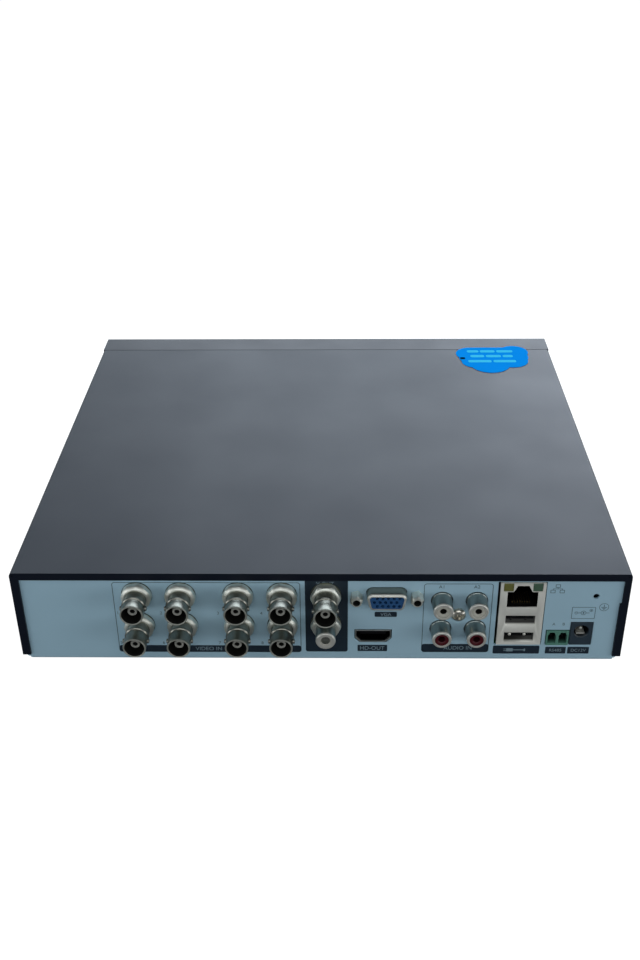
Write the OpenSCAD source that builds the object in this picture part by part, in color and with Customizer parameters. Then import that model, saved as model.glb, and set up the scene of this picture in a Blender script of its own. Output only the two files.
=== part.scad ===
// Eight-channel video recorder in a folded steel case, seen from the rear as its connector side.
// Frame: +X to the right of the front, -Y is the front, +Y is the rear, +Z up.
// The origin is at the middle of the footprint, on the surface that the feet stand on.

/* [Case] */
// Width of the steel cover
case_w = 255; // [250:1:280]
// Depth from the front of the bezel to the cover's rear edge
case_d = 235; // [235:1:260]
// Height of the cover, from its lower edge to its top
cover_h = 42.7; // [42.7:0.1:46]
// How far the tray's underside is below the cover's lower edge
tray_drop = 3.2; // [2:0.1:4]
// Thickness of the sheet steel
sheet = 1; // [0.8:0.1:1]
// Outer radius of the folds in the sheet steel
fold_r = 1.6; // [1.2:0.1:2]
// Width of the cover's turned-in rim at the rear
rim_w = 3.5; // [3:0.1:4]
// Depth of the moulded front bezel
bezel_d = 15.8; // [14:0.1:18]
// Wall of the moulded front bezel
bezel_wall = 2.2; // [1.8:0.1:2.6]
// Height of the rubber feet
foot_h = 2.4; // [2:0.1:6]
// Radius of the rubber feet
foot_r = 7.5; // [6:0.5:9]

/* [Coax sockets] */
// Distance that a coax socket's mouth stands out from the rear panel
coax_reach = 14.6; // [14:0.1:16]
// How far the lower coax sockets and the video output stand out of the panel
coax_long_reach = 16.2; // [14.6:0.1:17]
// Outer radius of a coax socket's barrel
coax_r = 4.8; // [4.7:0.05:4.85]
// Height of the lower row above the cover's lower edge
coax_low = 15.8; // [15:0.1:16.5]
// Distance between the two rows
coax_pitch = 15.5; // [14.5:0.1:16]

/* [Audio sockets] */
// Distance that an audio socket's mouth stands out from the rear panel
audio_reach = 8.1; // [7:0.1:10]
// Outer radius of an audio socket's barrel
audio_r = 4.15; // [4.1:0.05:4.2]
// Height of the lower row above the cover's lower edge
audio_low = 13.9; // [13.5:0.1:14.5]
// Distance between the two rows
audio_pitch = 14.5; // [14:0.1:15]

/* [Drive and fan] */
// Side of the square fan frame
fan_side = 40; // [38:1:40]
// Thickness of the fan frame
fan_thick = 10; // [10:1:12]
// Radius of the drive's platters
platter_r = 47.5; // [46:0.5:47.5]

/* [Hidden] */
$fn = 48;
hair = 0.05; // running and assembly clearance
panel_recess = sheet + 0.1; // the rear panel stands just behind the cover's rim
y_front = -(case_d + coax_long_reach - panel_recess) / 2;
y_rear = y_front + case_d;
y_panel = y_rear - panel_recess; // outer face of the rear panel
y_bezel = y_front + bezel_d; // back edge of the bezel
tray_z = foot_h;
skirt_z = foot_h + tray_drop; // lower edge of the cover
top_z = skirt_z + cover_h;
floor_z = tray_z + sheet;
tray_w = case_w - 2 * sheet - 0.6;
seam = 0.4; // gap between bezel and cover
board_top = 5.6; // top of the main board above the cover's lower edge
board_t = 1.6;

// Columns of sockets, measured from the left edge as seen from the rear
coax_cols = [51.6, 69.75, 93.6, 111.8];
out_col = 130;
audio_out_h = 16.5; // height of the audio output, under the video output
audio_cols = [178.2, 192.6];
monitor_at = [155.2, 30.9];
jack_screw_span = 24.99;
digital_at = [149.9, 9.9];
stack_at = [211.3, 21.7];
stack_size = [18.6, 32];
network_at = [211.3, 29.4];
data_heights = [18.5, 9.6];
terminal_at = [227.5, 9.4];
dc_at = [237.3, 11.6];
ground_at = [241.6, 30.8];
audio_screw_at = [185.3, 21.6];

foot_x = case_w / 2 - 22;
foot_y = 84;
side_screw_y = [-78, 72];
side_screw_h = 6;
drive_size = [147, 101.6, 26.1];
drive_at = [-44.5, -52.2, skirt_z + 0.4]; // middle of the drive's underside
fan_at = [0, -52, skirt_z + 20.6]; // x is set by the side wall
board_min = [-119.5, 3];
board_max = [87.5, y_panel - sheet - 0.5];
post_at = [[-112, 12], [-20, 12], [80, 12], [-112, 66], [80, 66]];

function coax_rows() = [coax_low, coax_low + coax_pitch];
function audio_rows() = [audio_low, audio_low + audio_pitch];

// ---- shared shapes -------------------------------------------------------------------------

// Puts a socket on the rear panel: x right and y up as seen from behind, z out of the panel.
module at_port(u, h) {
    translate([case_w / 2 - u, y_panel, skirt_z + h]) rotate([90, 0, 180]) children();
}

module at_rows(cols, rows) {
    for (u = cols) for (h = rows) at_port(u, h) children();
}

// A box given by its lowest and highest corners.
module span(lo, hi) {
    translate(lo) cube(hi - lo);
}

// A quarter of a tube along Z, in the corner below and left of its centre.
module fold(len) {
    intersection() {
        difference() {
            cylinder(r = fold_r, h = len);
            translate([0, 0, -1]) cylinder(r = fold_r - sheet, h = len + 2);
        }
        translate([-fold_r - 1, -fold_r - 1, -0.5]) cube([fold_r + 1, fold_r + 1, len + 1]);
    }
}

// A slot with round ends, long way along X, through the Z direction.
module slot(len, wide, deep) {
    translate([-(len - wide) / 2, -wide / 2, 0]) cube([len - wide, wide, deep]);
    for (s = [-1, 1]) translate([s * (len - wide) / 2, 0, 0]) cylinder(d = wide, h = deep);
}

// Points of a rectangle with round corners.
function round_rect(w, h, r, steps = 5) = [
    for (q = [0:3]) for (i = [0:steps])
        let (a = 90 * q + 90 * i / steps,
             cx = (q == 0 || q == 3 ? 1 : -1) * (w / 2 - r),
             cy = (q < 2 ? 1 : -1) * (h / 2 - r))
        [cx + r * cos(a), cy + r * sin(a)]
];

// Points of a D-shaped plug outline: wider at the top, with round corners.
function d_outline(w_top, w_low, h, r, steps = 5) = [
    for (q = [0:3]) for (i = [0:steps])
        let (lean = atan2((w_top - w_low) / 2, h),
             start = [-lean, 90, 180 - 0, 270][q],
             stop = [90, 180 + lean, 270, 360 - lean][q],
             a = start + (stop - start) * i / steps,
             half = (q < 2 ? w_top : w_low) / 2,
             cx = (q == 0 || q == 3 ? 1 : -1) * (half - r * 1.05),
             cy = (q < 2 ? 1 : -1) * (h / 2 - r))
        [cx + r * cos(q == 2 ? 180 + lean + (90 - lean) * i / steps : a),
         cy + r * sin(q == 2 ? 180 + lean + (90 - lean) * i / steps : a)]
];

// Points of a digital video socket's outline: a rectangle whose lower corners slant in.
function digital_outline(w, h) = [
    [w / 2, h / 2], [-w / 2, h / 2], [-w / 2, -h / 2 + 2.2], [-w / 2 + 2.1, -h / 2],
    [w / 2 - 2.1, -h / 2], [w / 2, -h / 2 + 2.2]
];

// ---- casing --------------------------------------------------------------------------------

slot_pitch = 6;

module floor_vents() {
    for (x = [-96:slot_pitch:-30]) translate([x, 50, tray_z - 1]) rotate(90) slot(34, 2.2, sheet + 2);
    for (x = [-12:slot_pitch:54]) translate([x, 50, tray_z - 1]) rotate(90) slot(34, 2.2, sheet + 2);
}

module side_vents(x, y0, count) {
    for (i = [0:count - 1])
        translate([x, y0 + i * slot_pitch, skirt_z + 25]) rotate([0, 90, 0]) slot(18, 2.2, 6);
}

module fan_grille(x) {
    translate([x, fan_at[1], fan_at[2]]) rotate([0, 90, 0]) {
        cylinder(r = 1.6, h = 6);
        for (ring = [1:3]) for (i = [0:6 * ring - 1])
            rotate(360 * i / (6 * ring)) translate([5.2 * ring, 0, 0]) cylinder(r = 1.6, h = 6);
    }
}

// The openings in the rear panel, one for each socket.
module panel_holes() {
    at_rows(coax_cols, coax_rows()) translate([0, 0, -3]) cylinder(r = 4.8, h = 6);
    at_port(out_col, coax_rows()[1]) translate([0, 0, -3]) cylinder(r = 4.8, h = 6);
    at_port(out_col, audio_out_h) translate([0, 0, -3]) cylinder(r = 4.2, h = 6);
    at_rows(audio_cols, audio_rows()) translate([0, 0, -3]) cylinder(r = 4.65, h = 6);
    at_port(audio_screw_at[0], audio_screw_at[1]) translate([0, 0, -3]) cylinder(r = 1.7, h = 6);
    at_port(monitor_at[0], monitor_at[1]) {
        translate([0, 0, -3]) linear_extrude(6) polygon(d_outline(17.2, 15.8, 8.8, 2.6));
        for (s = [-1, 1]) translate([s * jack_screw_span / 2, 0, -3]) cylinder(r = 1.6, h = 6);
    }
    at_port(digital_at[0], digital_at[1])
        translate([0, 0, -3]) linear_extrude(6) polygon(digital_outline(15.8, 6.9));
    at_port(stack_at[0], stack_at[1])
        translate([-stack_size[0] / 2 - 1, -stack_size[1] / 2 - 0.4, -3])
            cube([stack_size[0] + 1.4, stack_size[1] + 0.8, 6]);
    at_port(terminal_at[0], terminal_at[1]) translate([-4.95, -3.95, -3]) cube([9.9, 7.9, 6]);
    at_port(dc_at[0], dc_at[1]) translate([-4.8, -6.1, -3]) cube([9.6, 12.05, 6]);
    at_port(ground_at[0], ground_at[1]) translate([0, 0, -3]) cylinder(r = 1.3, h = 6);
}

flange_h = 14; // height of the tray's side flanges above its underside
panel_top = top_z - sheet - 0.6;
front_wall_top = top_z - 8;

module tray_side(s) {
    y0 = y_bezel + 3;
    y1 = y_panel - 3;
    x_out = s * tray_w / 2;
    span([min(x_out, x_out - s * sheet), y0, tray_z + fold_r],
         [max(x_out, x_out - s * sheet), y1, tray_z + flange_h]);
    translate([x_out - s * fold_r, s > 0 ? y1 : y0, tray_z + fold_r])
        rotate(s > 0 ? 180 : 0) rotate([-90, 0, 0]) mirror([0, 1, 0]) fold(y1 - y0);
}

// A raised tab of the side flange that the fan is screwed to.
module fan_tab() {
    x_out = tray_w / 2;
    span([x_out - sheet, fan_at[1] - 22, tray_z + flange_h - 1],
         [x_out, fan_at[1] + 22, fan_at[2] + 19.6]);
}

module fan_openings() {
    translate([tray_w / 2 - 4, fan_at[1], fan_at[2]]) rotate([0, 90, 0]) {
        cylinder(r = 18.8, h = 6);
        for (sx = [-1, 1]) for (sy = [-1, 1]) translate([sx * 16, sy * 16, 0])
            cylinder(r = 1.7, h = 6);
    }
}

// The rear panel, with its lower edge rolled under to meet the tray's bottom, where it is welded on.
module rear_panel() color([0.47, 0.56, 0.60]) difference() {
    union() {
        span([-tray_w / 2, y_panel - sheet, tray_z + fold_r], [tray_w / 2, y_panel, panel_top]);
        translate([-tray_w / 2 + fold_r, y_panel - fold_r, tray_z + fold_r])
            rotate([90, 0, 90]) mirror([1, 0, 0]) fold(tray_w - 2 * fold_r);
    }
    panel_holes();
    for (s = [-1, 1]) translate([s * tray_w / 2, y_panel + 1, tray_z])
        rotate([90, 45, 0]) cube([3.6, 3.6, 6], center = true);
}

module base_tray() color([0.47, 0.56, 0.60]) difference() {
    union() {
        span([-tray_w / 2 + fold_r, y_bezel + fold_r, tray_z],
             [tray_w / 2 - fold_r, y_panel - fold_r, floor_z]);
        for (s = [-1, 1]) tray_side(s);
        // front wall and its fold
        span([-tray_w / 2 + fold_r, y_bezel, tray_z + fold_r],
             [tray_w / 2 - fold_r, y_bezel + sheet, front_wall_top]);
        translate([-tray_w / 2 + fold_r, y_bezel + fold_r, tray_z + fold_r])
            rotate([90, 0, 90]) fold(tray_w - 2 * fold_r);
        fan_tab();
        // pressed-in posts for the main board, and raised seats for the drive
        for (p = post_at) translate([p[0], p[1], floor_z - 0.5])
            cylinder(r = 3, h = skirt_z + board_top - board_t - floor_z + 0.5);
        for (p = drive_holes()) translate([p[0], p[1], floor_z - 0.5])
            cylinder(r = 5, h = drive_at[2] - floor_z + 0.5);
    }
    floor_vents();
    fan_openings();
    for (p = post_at) translate([p[0], p[1], floor_z + 1]) cylinder(r = 1.3, h = 20);
    for (p = drive_holes()) translate([p[0], p[1], tray_z - 1]) cylinder(r = 1.9, h = 20);
    for (s = [-1, 1]) for (y = side_screw_y)
        translate([s * tray_w / 2, y, skirt_z + side_screw_h]) rotate([0, 90, 0])
            cylinder(r = 1.5, h = 8, center = true);
    // slots for the bezel's hooks, and the way through for the front lead
    for (x = hook_x) for (h = hook_h)
        span([x - 5.5, y_bezel - 1, skirt_z + h - 1.6], [x + 5.5, y_bezel + 3, skirt_z + h + 1.6]);
    span([84, y_bezel - 1, skirt_z + 12], [100, y_bezel + 3, skirt_z + 18]);
}

module top_cover() color([0.10, 0.11, 0.13]) difference() {
    union() {
        y0 = y_bezel + seam;
        span([-case_w / 2 + fold_r, y0, top_z - sheet], [case_w / 2 - fold_r, y_rear, top_z]);
        for (s = [-1, 1]) {
            x_out = s * case_w / 2;
            span([min(x_out, x_out - s * sheet), y0, skirt_z],
                 [max(x_out, x_out - s * sheet), y_rear, top_z - fold_r]);
            translate([x_out - s * fold_r, s > 0 ? y0 : y_rear, top_z - fold_r])
                rotate(s > 0 ? 0 : 180) rotate([-90, 0, 0])
                    mirror([1, 0, 0]) fold(y_rear - y0);
        }
        // the turned-in rim: a wide strip along the top and one down each side
        span([-case_w / 2 + fold_r, y_rear - sheet, top_z - rim_w],
             [case_w / 2 - fold_r, y_rear, top_z - sheet / 2]);
        for (s = [-1, 1]) {
            x_out = s * (case_w / 2 - sheet / 2);
            x_in = s * (case_w / 2 - rim_w);
            span([min(x_out, x_in), y_rear - sheet, skirt_z],
                 [max(x_out, x_in), y_rear, top_z - fold_r]);
        }
    }
    // the rim is narrower in the upper part of one side
    span([-case_w / 2 + rim_w - 0.8, y_rear - 3, skirt_z + 27.5],
         [-case_w / 2 + rim_w + 1, y_rear + 1, top_z - rim_w]);
    side_vents(-case_w / 2 - 3, 10, 12);
    side_vents(-case_w / 2 - 3, -88, 12);
    side_vents(case_w / 2 - 3, 10, 12);
    fan_grille(case_w / 2 - 3);
    for (s = [-1, 1]) for (y = side_screw_y)
        translate([s * case_w / 2, y, skirt_z + side_screw_h]) rotate([0, s * 90, 0]) {
            translate([0, 0, -sheet]) cylinder(r1 = 1.75, r2 = 3.07, h = sheet * 1.2);
            translate([0, 0, -sheet - 2]) cylinder(r = 1.75, h = 2.2);
        }
}

// Side view of the bezel's outside: y from front to back, z up, with a lower lip set back.
module bezel_profile() {
    d = bezel_d;
    h = top_z - tray_z;
    r = 2.6;
    edge = 0.9;
    polygon(concat(
        [[d, 0], [d, h]],
        [for (i = [0:6]) let (a = 90 + 90 * i / 6) [edge + edge * cos(a), h - edge + edge * sin(a)]],
        [[0.4, h * 0.56], [0, h * 0.42], [0, h * 0.36], [1.6, h * 0.33]],
        [for (i = [0:6]) let (a = 180 + 90 * i / 6) [1.6 + r + r * cos(a), r + r * sin(a)]]
    ));
}

hook_x = [-104, -40, 36, 116];
hook_h = [8, 30];
window_x = 78; // middle of the smoked window
window_size = [64, 10];
window_h = 27;

module front_bezel() color([0.05, 0.05, 0.06]) {
    difference() {
        translate([-case_w / 2, y_front, tray_z]) rotate([90, 0, 90])
            linear_extrude(case_w) bezel_profile();
        span([-case_w / 2 + bezel_wall, y_front + 1.6 + bezel_wall, tray_z + bezel_wall],
             [case_w / 2 - bezel_wall, y_bezel + 1, top_z - bezel_wall]);
        // opening for the window, with a step that it seats against
        translate([window_x, y_front - 1, skirt_z + window_h]) rotate([-90, 0, 0])
            linear_extrude(8) polygon(round_rect(window_size[0], window_size[1], 2));
        // name-plate recess and the breathing slots under the lower lip
        for (i = [0:17]) span([-102 + i * 12, y_front + 6, tray_z - 1],
                              [-96 + i * 12, y_front + 8, tray_z + 4]);
    }
    // hooks that snap into the tray's front wall
    for (x = hook_x) for (h = hook_h) {
        span([x - 5, y_bezel - 8, skirt_z + h - 1.2], [x + 5, y_bezel + sheet + 0.4, skirt_z + h + 0.4]);
        span([x - 5, y_bezel + sheet + 0.1, skirt_z + h - 1.2],
             [x + 5, y_bezel + sheet + 1.6, skirt_z + h + 1.2]);
        span([x - 5, y_front + 1.6 + bezel_wall - 0.5, skirt_z + h - 1.2],
             [x + 5, y_bezel - 7.9, skirt_z + h + 0.4]);
    }
    // posts that carry the front board, with pins that pass through it
    for (s = [-1, 1]) translate([window_x + s * 27, y_front + 3, skirt_z + window_h + 7])
        rotate([-90, 0, 0]) {
            cylinder(r = 1.9, h = front_board_y - y_front - 3);
            cylinder(r = 1.1 - hair, h = front_board_y - y_front);
        }
}

module front_window() color([0.12, 0.05, 0.06, 0.6])
    translate([window_x, y_front + 0.6, skirt_z + window_h]) rotate([-90, 0, 0])
        linear_extrude(2.4) polygon(round_rect(window_size[0] - 0.2, window_size[1] - 0.2, 1.9));

// Countersunk screws, flush with the sides.
module cover_screws() color([0.08, 0.08, 0.09])
    for (s = [-1, 1]) for (y = side_screw_y)
        translate([s * case_w / 2, y, skirt_z + side_screw_h]) rotate([0, s * 90, 0]) difference() {
            union() {
                translate([0, 0, -sheet]) cylinder(r1 = 1.65, r2 = 2.75, h = sheet - 0.02);
                translate([0, 0, -6.5]) cylinder(r = 1.5 - hair, h = 5.6);
            }
            for (a = [0, 90]) rotate(a) translate([-1.5, -0.35, -0.7]) cube([3, 0.7, 2]);
        }

module rubber_feet() color([0.04, 0.04, 0.04])
    for (sx = [-1, 1]) for (sy = [-1, 1]) translate([sx * foot_x, sy * foot_y, 0])
        rotate_extrude() polygon([[0, 0.5], [foot_r - 3.2, 0.5], [foot_r - 2.8, 0], [foot_r - 1, 0],
                                  [foot_r - 0.6, 0.3], [foot_r, foot_h], [0, foot_h]]);

// A cloud-shaped label that lies across the seam, its straight side to the front.
sticker_lobes = [[-82.5, -103.1, 8.3], [-82.5, -97.5, 7], [-84.5, -92.8, 8], [-92, -89.4, 11],
                 [-104.5, -94.3, 9.2], [-107, -105.3, 8.1]];

module cloud_sticker() color([0.10, 0.55, 0.90]) translate([0, 0, top_z]) linear_extrude(0.2) {
    for (l = sticker_lobes) translate([l[0], l[1]]) circle(r = l[2]);
    translate([-107, -111.4]) square([24.5, 18]);
}

// ---- coax sockets --------------------------------------------------------------------------

thread_r = 4.6;

module coax_shell(tip) {
    rotate_extrude() polygon([
        [2.45, -sheet], [thread_r, -sheet], [thread_r, 8.1], [coax_r + 0.25, 8.35],
        [coax_r + 0.25, 8.95], [coax_r - 0.25, 9.3], [coax_r - 0.25, tip - 4], [coax_r, tip - 3.9],
        [coax_r, tip - 0.5], [coax_r - 0.2, tip], [4.2, tip], [4.05, tip - 0.3],
        [4.05, 5.6], [2.45, 5.6]
    ]);
    // bayonet lugs on both sides
    for (s = [-1, 1]) translate([0, 0, tip - 5.1]) rotate([0, s * 90, 0])
        translate([0, 0, coax_r - 0.5]) cylinder(r = 0.98, h = 1.2);
}

module coax_at(i) {
    // sockets 1 to 4 are the upper row, 5 to 8 the lower one
    at_port(coax_cols[i % 4], coax_rows()[i < 4 ? 1 : 0]) children();
}

module video_in(i) color([0.62, 0.62, 0.60]) coax_at(i) coax_shell(i < 4 ? coax_reach : coax_long_reach);

module video_out() color([0.62, 0.62, 0.60]) at_port(out_col, coax_rows()[1]) coax_shell(coax_long_reach);

module every_coax() {
    for (i = [0:7]) coax_at(i) children();
    at_port(out_col, coax_rows()[1]) children();
}

// One thing in each coax socket: the first child in the short ones, the second in the long ones.
module in_each_coax() {
    for (i = [0:3]) coax_at(i) children(0);
    for (i = [4:7]) coax_at(i) children(1);
    at_port(out_col, coax_rows()[1]) children(1);
}

// The insulating tube narrows towards its end, which stands well inside the barrel's mouth.
module coax_tube(tip) {
    rotate_extrude() polygon([[1.05, -sheet], [2.4, -sheet], [2.4, tip - 6], [2, tip - 4.5],
                              [1.95, tip - 2.9], [1.05, tip - 2.9]]);
}

module coax_pin(tip) {
    rotate_extrude() polygon([[0, -sheet], [1, -sheet], [1, tip - 3.2], [0.75, tip - 3.2],
                              [0.75, tip - 8], [0, tip - 8]]);
}

module coax_insulators() color([0.85, 0.85, 0.82]) in_each_coax() {
    coax_tube(coax_reach);
    coax_tube(coax_long_reach);
}

module coax_contacts() color([0.80, 0.62, 0.25]) in_each_coax() {
    coax_pin(coax_reach);
    coax_pin(coax_long_reach);
}

washer_t = 0.5;
nut_t = 3.4;

module washer(bore) difference() {
    cylinder(r = 6.4, h = washer_t);
    translate([0, 0, -1]) cylinder(r = bore, h = 3);
}

// A nut with a broad chamfer round its front.
module nut(bore) translate([0, 0, washer_t]) difference() {
    intersection() {
        cylinder(r = 6.8, h = nut_t, $fn = 6);
        union() {
            cylinder(r = 6.3, h = nut_t - 1.5);
            translate([0, 0, nut_t - 1.5]) cylinder(r1 = 6.3, r2 = 5, h = 1.5);
        }
    }
    translate([0, 0, -1]) cylinder(r = bore, h = 6);
}

module coax_washers() color([0.45, 0.45, 0.42]) {
    every_coax() washer(thread_r + 0.05);
    at_port(out_col, audio_out_h) washer(3.95);
}

module coax_nuts() color([0.78, 0.78, 0.74]) {
    every_coax() nut(thread_r + 0.05);
    at_port(out_col, audio_out_h) nut(3.95);
}

housing_d = 13;

module coax_housings() color([0.06, 0.06, 0.06])
    for (u = concat(coax_cols, [out_col])) at_port(u, 0)
        span([-7.3, board_top, -sheet - housing_d], [7.3, coax_rows()[1] + 7, -sheet]);

// ---- audio sockets -------------------------------------------------------------------------

// A sleeve with a narrow collar at the panel and its mouth rolled in.
module audio_shell(reach) {
    rotate_extrude() polygon([[audio_r - 0.4, -sheet], [audio_r + 0.25, -sheet], [audio_r + 0.25, 0.6],
                              [audio_r, 0.65], [audio_r, reach - 0.4], [audio_r - 0.2, reach],
                              [2.9, reach], [2.9, reach - 0.4], [audio_r - 0.4, reach - 0.4]]);
}

module audio_insert(reach, r = audio_r - 0.45) {
    rotate_extrude() polygon([[0, -sheet], [r, -sheet], [r, reach - 0.45],
                              [1.65, reach - 0.45], [1.65, reach - 7.6], [0, reach - 7.6]]);
}

audio_out_reach = 12.2;

module audio_in(i) color([0.72, 0.72, 0.68])
    at_port(audio_cols[i % 2], audio_rows()[i < 2 ? 1 : 0]) audio_shell(audio_reach);

module audio_out() color([0.72, 0.72, 0.68])
    at_port(out_col, audio_out_h) rotate_extrude() polygon([
        [3.6, -sheet], [3.9, -sheet], [3.9, 4.4], [audio_r, 4.45],
        [audio_r, audio_out_reach - 0.4], [audio_r - 0.2, audio_out_reach],
        [2.3, audio_out_reach], [2.3, audio_out_reach - 0.4],
        [3.6, audio_out_reach - 0.4]
    ]);

module audio_white_inserts() color([0.86, 0.86, 0.82]) {
    at_rows(audio_cols, [audio_rows()[1]]) audio_insert(audio_reach);
    at_port(out_col, audio_out_h) audio_insert(audio_out_reach, 3.55);
}

module audio_red_inserts() color([0.45, 0.05, 0.08])
    at_rows(audio_cols, [audio_rows()[0]]) audio_insert(audio_reach);

module audio_housing() color([0.06, 0.06, 0.06]) at_port(audio_screw_at[0], 0) difference() {
    span([-12.6, board_top, -sheet - 12], [12.6, audio_rows()[1] + 6, -sheet]);
    translate([0, audio_screw_at[1], -sheet - 8]) cylinder(r = 1.45, h = 12);
}

module audio_screw()
    at_port(audio_screw_at[0], audio_screw_at[1]) difference() {
        union() {
            rotate_extrude() polygon([[0, 0], [3, 0], [3, 0.9], [2.6, 1.5], [1.8, 1.9], [0, 2]]);
            translate([0, 0, -8.5]) cylinder(r = 1.4, h = 9);
        }
        for (a = [20, 110]) rotate(a) translate([-1.9, -0.4, 0.9]) cube([3.8, 0.8, 2]);
    }

// ---- monitor sockets -----------------------------------------------------------------------

module monitor_shell() color([0.72, 0.72, 0.68]) at_port(monitor_at[0], monitor_at[1])
    translate([0, 0, -sheet]) linear_extrude(5.2 + sheet) difference() {
        polygon(d_outline(16.6, 15.2, 8.3, 2.4));
        polygon(d_outline(15.7, 14.3, 7.4, 2));
    }

pin_pitch = [2.29, 1.98];

module monitor_insert() color([0.10, 0.22, 0.52]) at_port(monitor_at[0], monitor_at[1])
    difference() {
        translate([0, 0, -sheet]) linear_extrude(4.7 + sheet) polygon(d_outline(15.5, 14.1, 7.2, 1.9));
        for (row = [-1:1]) for (i = [-2:2])
            translate([(i + (row == 0 ? -0.25 : 0.25)) * pin_pitch[0], row * pin_pitch[1], 1])
                cylinder(r = 0.7, h = 8);
    }

module monitor_bracket() color([0.10, 0.10, 0.11]) at_port(monitor_at[0], monitor_at[1]) difference() {
    union() {
        span([-15.4, -6.2, -sheet - 9], [15.4, 6.2, -sheet]);
        for (s = [-1, 1]) translate([s * 14.2, 0, 0])
            span([-1.2, board_top - monitor_at[1], -sheet - 9], [1.2, 0, -sheet]);
    }
    for (s = [-1, 1]) translate([s * jack_screw_span / 2, 0, -sheet - 4]) cylinder(r = 1.5, h = 6);
}

module monitor_jack_screws() color([0.70, 0.70, 0.66]) at_port(monitor_at[0], monitor_at[1])
    for (s = [-1, 1]) translate([s * jack_screw_span / 2, 0, 0]) difference() {
        union() {
            cylinder(r = 2.75, h = 5.2, $fn = 6);
            translate([0, 0, -4]) cylinder(r = 1.5 - hair, h = 4.5);
        }
        translate([0, 0, 0.7]) cylinder(r = 1.3, h = 6);
    }

digital_deep = 12;

module digital_shell() color([0.66, 0.66, 0.63]) at_port(digital_at[0], digital_at[1]) {
    translate([0, 0, -digital_deep]) linear_extrude(digital_deep + 0.2) difference() {
        polygon(digital_outline(15.2, 6.3));
        polygon(digital_outline(14.2, 5.3));
    }
    translate([0, 0, -digital_deep]) linear_extrude(0.6) polygon(digital_outline(14.6, 5.7));
    for (s = [-1, 1]) for (z = [-4, -10])
        span([s * 7.35 - 0.25, board_top - digital_at[1], z], [s * 7.35 + 0.25, -0.5, z + 1.6]);
}

module digital_tongue() color([0.05, 0.05, 0.05]) at_port(digital_at[0], digital_at[1])
    span([-5.5, -0.3, -digital_deep + 0.6], [5.5, 1.1, -1.6]);

// ---- network and data stack ----------------------------------------------------------------

network_deep = 15;
stack_deep = 20;
stack_out = 0.3;

// The network opening: a box with a notch for the plug's latch above it, its sides slanting in.
module network_opening(deep) {
    translate([0, 0, -deep]) linear_extrude(deep) polygon([
        [-6.3, -4], [6.3, -4], [6.3, 3.8], [3.85, 3.8], [2.3, 6.9], [-2.3, 6.9], [-3.85, 3.8], [-6.3, 3.8]
    ]);
}

network_block = [[-8.4, -5.4], [8.4, 8.05]];

module network_cage() color([0.72, 0.72, 0.69]) at_port(stack_at[0], stack_at[1]) difference() {
    span([-stack_size[0] / 2, board_top - stack_at[1], -stack_deep],
         [stack_size[0] / 2, stack_size[1] / 2, stack_out]);
    translate([0, network_at[1] - stack_at[1], 0]) {
        span([network_block[0][0], network_block[0][1], -network_deep - 1], [network_block[1][0], network_block[1][1], -0.2]);
        translate([0, 0, 1]) network_opening(3);
        for (s = [-1, 1]) span([s * 6 - 2.05, 4, -1], [s * 6 + 2.05, 8.2, 1]);
    }
    for (h = data_heights) translate([0, h - stack_at[1], 0])
        span([-6.3, -2.5, -13], [6.3, 2.5, 1]);
}

light_deep = 8;

module network_insert() color([0.05, 0.05, 0.06]) at_port(network_at[0], network_at[1]) difference() {
    span([network_block[0][0] + hair, network_block[0][1] + hair, -network_deep - 1 + hair],
         [network_block[1][0] - hair, network_block[1][1] - hair, -0.2 - hair]);
    network_opening(13);
    for (s = [-1, 1]) span([s * 6 - 2.05, 3.95, -light_deep], [s * 6 + 2.05, 9, 1]);
}

module network_lights() color([0.55, 0.58, 0.30]) at_port(network_at[0], network_at[1])
    for (s = [-1, 1])
        span([s * 6 - 2, 4.05, -light_deep + hair], [s * 6 + 2, 7.95, stack_out - 0.1]);

module network_contacts() color([0.80, 0.62, 0.25]) at_port(network_at[0], network_at[1])
    for (i = [0:7]) span([(i - 3.5) * 1.02 - 0.2, -4, -10], [(i - 3.5) * 1.02 + 0.2, -3, -2.5]);

module data_tongues() color([0.05, 0.05, 0.05]) for (h = data_heights) at_port(stack_at[0], h)
    span([-5.6, -0.1, -13], [5.6, 1.9, -1]);

// ---- power and control ---------------------------------------------------------------------

terminal_pitch = 4.6;

module terminal_block() color([0.20, 0.45, 0.28]) at_port(terminal_at[0], terminal_at[1])
    difference() {
        span([-4.7, board_top - terminal_at[1], -10], [4.7, 3.7, 0.6]);
        for (s = [-1, 1]) translate([s * terminal_pitch / 2, 0, -7]) linear_extrude(9)
            polygon([[-1.7, -2.8], [1.7, -2.8], [1.7, 1], [0.9, 2.8], [-0.9, 2.8], [-1.7, 1]]);
    }

module terminal_pins() color([0.75, 0.74, 0.70]) at_port(terminal_at[0], terminal_at[1])
    for (s = [-1, 1]) translate([s * terminal_pitch / 2, 0, 0]) span([-0.5, -0.5, -7], [0.5, 0.5, -1.2]);

dc_hole = [0, 1.2];

module dc_jack() color([0.07, 0.08, 0.10]) at_port(dc_at[0], dc_at[1]) difference() {
    span([-4.6, board_top - dc_at[1], -13], [4.6, 5.75, 0.4]);
    translate([dc_hole[0], dc_hole[1], -9.5]) cylinder(r = 3.15, h = 12);
}

module dc_jack_contacts() color([0.75, 0.74, 0.70])
    at_port(dc_at[0] + dc_hole[0], dc_at[1] + dc_hole[1]) {
        translate([0, 0, -9.5]) rotate_extrude()
            polygon([[0, 0], [1, 0], [1, 7.4], [0.6, 8], [0, 8.1]]);
        intersection() {
            difference() {
                translate([0, 0, -9.5]) cylinder(r = 3.1, h = 8);
                translate([0, 0, -10.5]) cylinder(r = 2.7, h = 10);
            }
            span([-1.5, -4, -12], [1.5, -1, 0]);
        }
    }

// ---- main board ----------------------------------------------------------------------------

board_z = skirt_z + board_top - board_t;

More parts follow.
